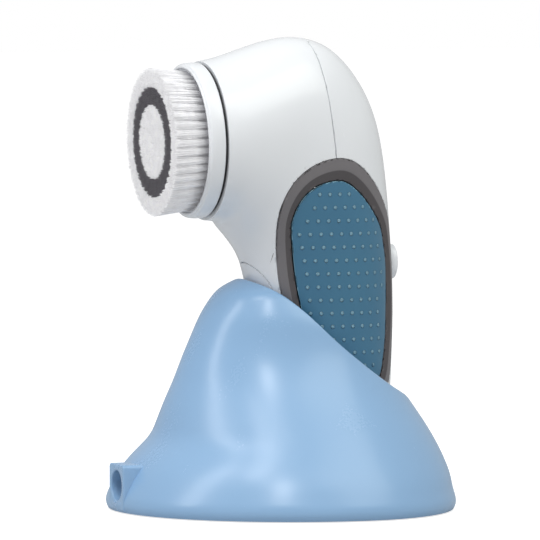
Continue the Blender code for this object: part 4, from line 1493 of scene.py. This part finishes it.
@dataclass(frozen=True)
class Stand:
    """The stand, its well for the handset, and the block of its power inlet."""

    shop: Workshop
    handset: HandsetForm = HandsetForm()
    form: StandForm = StandForm()
    around: int = 288
    rows: int = 76
    wall: float = 2.4
    lip: float = 1.3
    clearance: float = 0.8
    well_middle: tuple[float, float] = (0.0, 14.0)
    well_depth: float = 4.5
    well_wall: float = 1.3
    well_drop: float = 2.7
    inlet_half: float = 6.5
    inlet_top: float = 15.0
    inlet_foot: float = 1.0
    inlet_face: float = -53.5
    inlet_back: float = -45.2
    inlet_round: float = 1.2
    inlet_edge: float = 0.45
    inlet_behind: float = -30.0
    well_foot: float = 0.45
    inner_drop: float = 6.0
    inner_limit: float = 60.0
    bore: float = 4.6
    bore_height: float = 8.5

    def build(self) -> None:
        """Builds every piece of the stand."""
        self.build_body()
        self.build_well()
        self.build_inlet()

    def well_edge(self, bearing: np.ndarray) -> np.ndarray:
        """The edge of the well in the surface of the rim.

        Args:
            bearing: Bearings round the middle of the well, 0 at the front.

        Returns:
            The edge's points.
        """
        angle = np.linspace(-math.pi, math.pi, 721)
        low, high = np.zeros(len(angle)), np.full(len(angle), self.handset.curve().knots[-1])
        for _ in range(44):
            place = (low + high) / 2
            point = self.handset.surface(place, angle, self.clearance)
            above = point[:, 2] > self.form.rim(point[:, 1])
            low, high = np.where(above, place, low), np.where(above, high, place)
        edge = self.handset.surface((low + high) / 2, angle, self.clearance)
        around = np.arctan2(edge[:, 0] - self.well_middle[0], self.well_middle[1] - edge[:, 1])
        order = np.argsort(around)
        around, edge = around[order], edge[order]
        return np.stack([np.interp(bearing, around, edge[:, i], period=math.tau) for i in range(3)], -1)

    def build_body(self) -> None:
        """The body: outer wall, rounded rim, land, the lip of the well and the inner wall."""
        form = self.form
        angle = np.linspace(-math.pi, math.pi, self.around, endpoint=False)
        top = form.top(angle)
        outer_top = form.ring(top, angle)
        bearing = np.arctan2(outer_top[:, 0] - self.well_middle[0], self.well_middle[1] - outer_top[:, 1])
        well = self.well_edge(bearing)
        land = np.linalg.norm(well - outer_top, axis=1)
        radius = np.minimum(self.lip, 0.45 * land)
        shares = [0.0, 0.008, 0.017, 0.03, 0.045, *np.linspace(0.065, 1.0, self.rows)]
        foot = form.levels[0][0]
        rows = [form.ring(foot + (top - radius - foot) * share, angle) for share in shares]
        inwards = (well - outer_top) / land[:, None]
        start = rows.pop()
        on_land = outer_top + inwards * radius[:, None]
        rows += corner_arc(start, outer_top, on_land, 6)
        edge_round = np.minimum(0.4, 0.3 * land)
        land_end = well - inwards * edge_round[:, None]
        rows += [on_land + (land_end - on_land) * share for share in (0.2, 0.4, 0.6, 0.8)]
        down = well - np.array([0.0, 0.0, 1.0]) * edge_round[:, None]
        rows += corner_arc(land_end, well, down, 4)
        rows += [well - np.array([0.0, 0.0, self.well_depth]) * share for share in (0.4, 0.7, 1.0)]
        inner_top = np.minimum(top - self.inner_drop, self.inner_limit)
        shares = np.linspace(0, 1, 16)
        rows += [form.ring(inner_top + (foot - inner_top) * share, angle, -self.wall) for share in shares]
        rows.append(rows[0])
        bm = sheet(np.array(rows))
        bmesh.ops.recalc_face_normals(bm, faces=bm.faces)
        self.open_inlet(bm)
        self.shop.piece("stand_body", bm, Body.STAND, "stand_blue", ["stand_shell"], sharp=50)

    def open_inlet(self, bm: bmesh.types.BMesh) -> None:
        """Opens both walls behind the inlet block.

        Args:
            bm: The stand's mesh.
        """
        hole = self.bore + self.clearance

        def field(points: np.ndarray) -> np.ndarray:
            """Distance from the hole's edge, at the front of the stand only."""
            across = np.hypot(points[:, 0], points[:, 2] - self.bore_height) - hole
            return np.maximum(across, points[:, 1] - self.inlet_behind)

        keep_outside(bm, field)
        rims = [edge for edge in bm.edges if edge.is_boundary]
        bmesh.ops.bridge_loops(bm, edges=rims)

    def build_well(self) -> None:
        """The lining of the well, which the handset stands in."""
        bm = self.handset.skin(self.clearance, self.well_foot)
        keep_inside(bm, lambda points: points[:, 2] - self.form.rim(points[:, 1]) + self.well_drop)
        made = self.shop.piece("well_lining", bm, Body.STAND, "stand_blue", ["stand_cradle"], sharp=60)
        self.shop.thicken(made, self.well_wall, outwards=True)

    def build_inlet(self) -> None:
        """The block round the inlet, with its bore."""
        bm = bmesh.new()
        place = Matrix.Translation((0, self.inlet_face, self.bore_height))
        facing = Matrix.Rotation(math.pi / 2, 4, "X")
        bore = bmesh.ops.create_circle(bm, segments=64, radius=self.bore, matrix=place @ facing)["verts"]
        half, top, foot, corner = self.inlet_half, self.inlet_top, self.inlet_foot, self.inlet_round
        outline = [(-half, foot)]
        outline += [
            (-half + corner - corner * math.cos(a), top - corner + corner * math.sin(a))
            for a in [math.pi / 2 * i / 6 for i in range(7)]
        ]
        outline += [(-x, z) for x, z in reversed(outline)]
        frame_verts = [bm.verts.new((x, self.inlet_face, z)) for x, z in outline]
        edges = [bm.edges.new(pair) for pair in zip(frame_verts, frame_verts[1:] + frame_verts[:1])]
        edges += list({edge for vert in bore for edge in vert.link_edges})
        bmesh.ops.triangle_fill(bm, use_beauty=True, use_dissolve=False, edges=edges)
        hole = [f for f in bm.faces if all(v in set(bore) for v in f.verts)]
        bmesh.ops.delete(bm, geom=hole, context="FACES_ONLY")
        made = bmesh.ops.extrude_face_region(bm, geom=list(bm.faces), use_keep_orig=True)
        back = [item for item in made["geom"] if isinstance(item, bmesh.types.BMVert)]
        bmesh.ops.translate(bm, vec=(0, self.inlet_back - self.inlet_face, 0), verts=back)
        bmesh.ops.remove_doubles(bm, verts=bm.verts, dist=0.001)
        bmesh.ops.recalc_face_normals(bm, faces=bm.faces)
        on_face = [e for e in bm.edges if all(abs(v.co.y - self.inlet_face) < 0.01 for v in e.verts)]
        front = [edge for edge in on_face if edge.calc_face_angle(0) > 0.9]
        bmesh.ops.bevel(
            bm, geom=front, offset=self.inlet_edge, offset_type="OFFSET", segments=4, profile=0.5,
            affect="EDGES", material=-1,
        )
        self.shop.piece("inlet_block", bm, Body.STAND, "stand_blue", sharp=40)


# ------------------------------------------------------------------ the setting
@dataclass(frozen=True)
class SoftBox:
    """A soft light: its direction, distance, width and height, power and colour."""

    name: str
    azimuth: float
    elevation: float
    distance: float
    size: tuple[float, float]
    watts: float
    colour: tuple[float, float, float] = (1.0, 1.0, 1.0)


@dataclass(frozen=True)
class Studio:
    """A pale floor, soft lights and the camera."""

    azimuth: float = 69.0
    elevation: float = 3.2
    distance: float = 2.0
    lens: float = 430.7
    sensor: float = 36.0
    aim_right: float = -0.0028
    aim_up: float = 0.0734
    world_light: float = 0.53
    floor_lift: float = 0.75
    floor_size: float = 6.0
    boxes: tuple[SoftBox, ...] = (
        SoftBox("front_strip", 64.0, 50.0, 0.8, (0.07, 0.26), 1.15),
        SoftBox("corner_box", 36.0, 66.0, 0.8, (0.14, 0.26), 0.9),
        SoftBox("left_strip", 2.0, 42.0, 0.8, (0.14, 0.70), 1.9),
        SoftBox("right_box", 127.0, 50.0, 0.8, (0.50, 0.50), 1.8, (0.97, 1.0, 0.93)),
    )

    def build(self) -> None:
        """Builds the floor, the lights, the world and the camera."""
        self.build_floor()
        self.build_world()
        for box in self.boxes:
            self.build_box(box)
        self.build_camera()
        bpy.context.scene.view_settings.view_transform = "Standard"

    @staticmethod
    def back(azimuth: float, elevation: float) -> Vector:
        """The direction from the object to a viewer there."""
        a, e = math.radians(azimuth), math.radians(elevation)
        return Vector((math.sin(a) * math.cos(e), -math.cos(a) * math.cos(e), math.sin(e)))

    def build_floor(self) -> None:
        """The floor, which isn't part of the object."""
        bm = bmesh.new()
        bmesh.ops.create_grid(bm, x_segments=1, y_segments=1, size=self.floor_size)
        mesh = bpy.data.meshes.new("floor")
        bm.to_mesh(mesh)
        bm.free()
        made = bpy.data.materials.new("floor_white")
        made.use_nodes = True
        shader = made.node_tree.nodes["Principled BSDF"]
        shader.inputs["Base Color"].default_value = (0.60, 0.60, 0.60, 1)
        shader.inputs["Roughness"].default_value = 0.9
        shader.inputs["Specular IOR Level"].default_value = 0.0
        shader.inputs["Emission Color"].default_value = (1, 1, 1, 1)
        w = Wiring(made.node_tree)
        seen = w.add("ShaderNodeLightPath").outputs["Is Camera Ray"]
        w.join(w.maths("MULTIPLY", seen, self.floor_lift), shader.inputs["Emission Strength"])
        mesh.materials.append(made)
        floor = bpy.data.objects.new("floor", mesh)
        bpy.context.scene.collection.objects.link(floor)

    def build_world(self) -> None:
        """An even world that the camera sees as white."""
        world = bpy.data.worlds.new("studio")
        world.use_nodes = True
        bpy.context.scene.world = world
        w = Wiring(world.node_tree)
        background = world.node_tree.nodes["Background"]
        background.inputs["Color"].default_value = (1, 1, 1, 1)
        seen = w.add("ShaderNodeLightPath").outputs["Is Camera Ray"]
        lift = w.maths("MULTIPLY_ADD", seen, 1.0 - self.world_light, self.world_light)
        w.join(lift, background.inputs["Strength"])

    def build_box(self, box: SoftBox) -> None:
        """One soft box, turned to the object.

        Args:
            box: Its size, place and power.
        """
        light = bpy.data.lights.new(box.name, "AREA")
        light.shape = "RECTANGLE"
        light.size, light.size_y = box.size
        light.energy = box.watts
        light.color = box.colour
        made = bpy.data.objects.new(box.name, light)
        back = self.back(box.azimuth, box.elevation)
        made.location = back * box.distance + Vector((0, 0, 0.07))
        made.rotation_euler = back.to_track_quat("Z", "Y").to_euler()
        bpy.context.scene.collection.objects.link(made)

    def build_camera(self) -> None:
        """The camera, level with the lower half of the object and far off."""
        back = self.back(self.azimuth, self.elevation)
        a = math.radians(self.azimuth)
        right = Vector((math.cos(a), math.sin(a), 0))
        aim = right * self.aim_right + back.cross(right) * self.aim_up
        data = bpy.data.cameras.new("camera")
        data.lens = self.lens
        data.sensor_width = self.sensor
        data.clip_end = 20
        made = bpy.data.objects.new("camera", data)
        made.location = aim + back * self.distance
        made.rotation_euler = back.to_track_quat("Z", "Y").to_euler()
        bpy.context.scene.collection.objects.link(made)
        bpy.context.scene.camera = made


def main() -> None:
    """Builds the stand, the handset, the brush and the setting, in that order."""
    logging.basicConfig(level=logging.INFO, format="%(message)s")
    palette = Palette()
    palette.dress_frame()
    shop = Workshop(palette)
    Stand(shop).build()
    Handset(shop).build()
    BrushHead(shop).build()
    Studio().build()


if __name__ == "__main__":
    main()
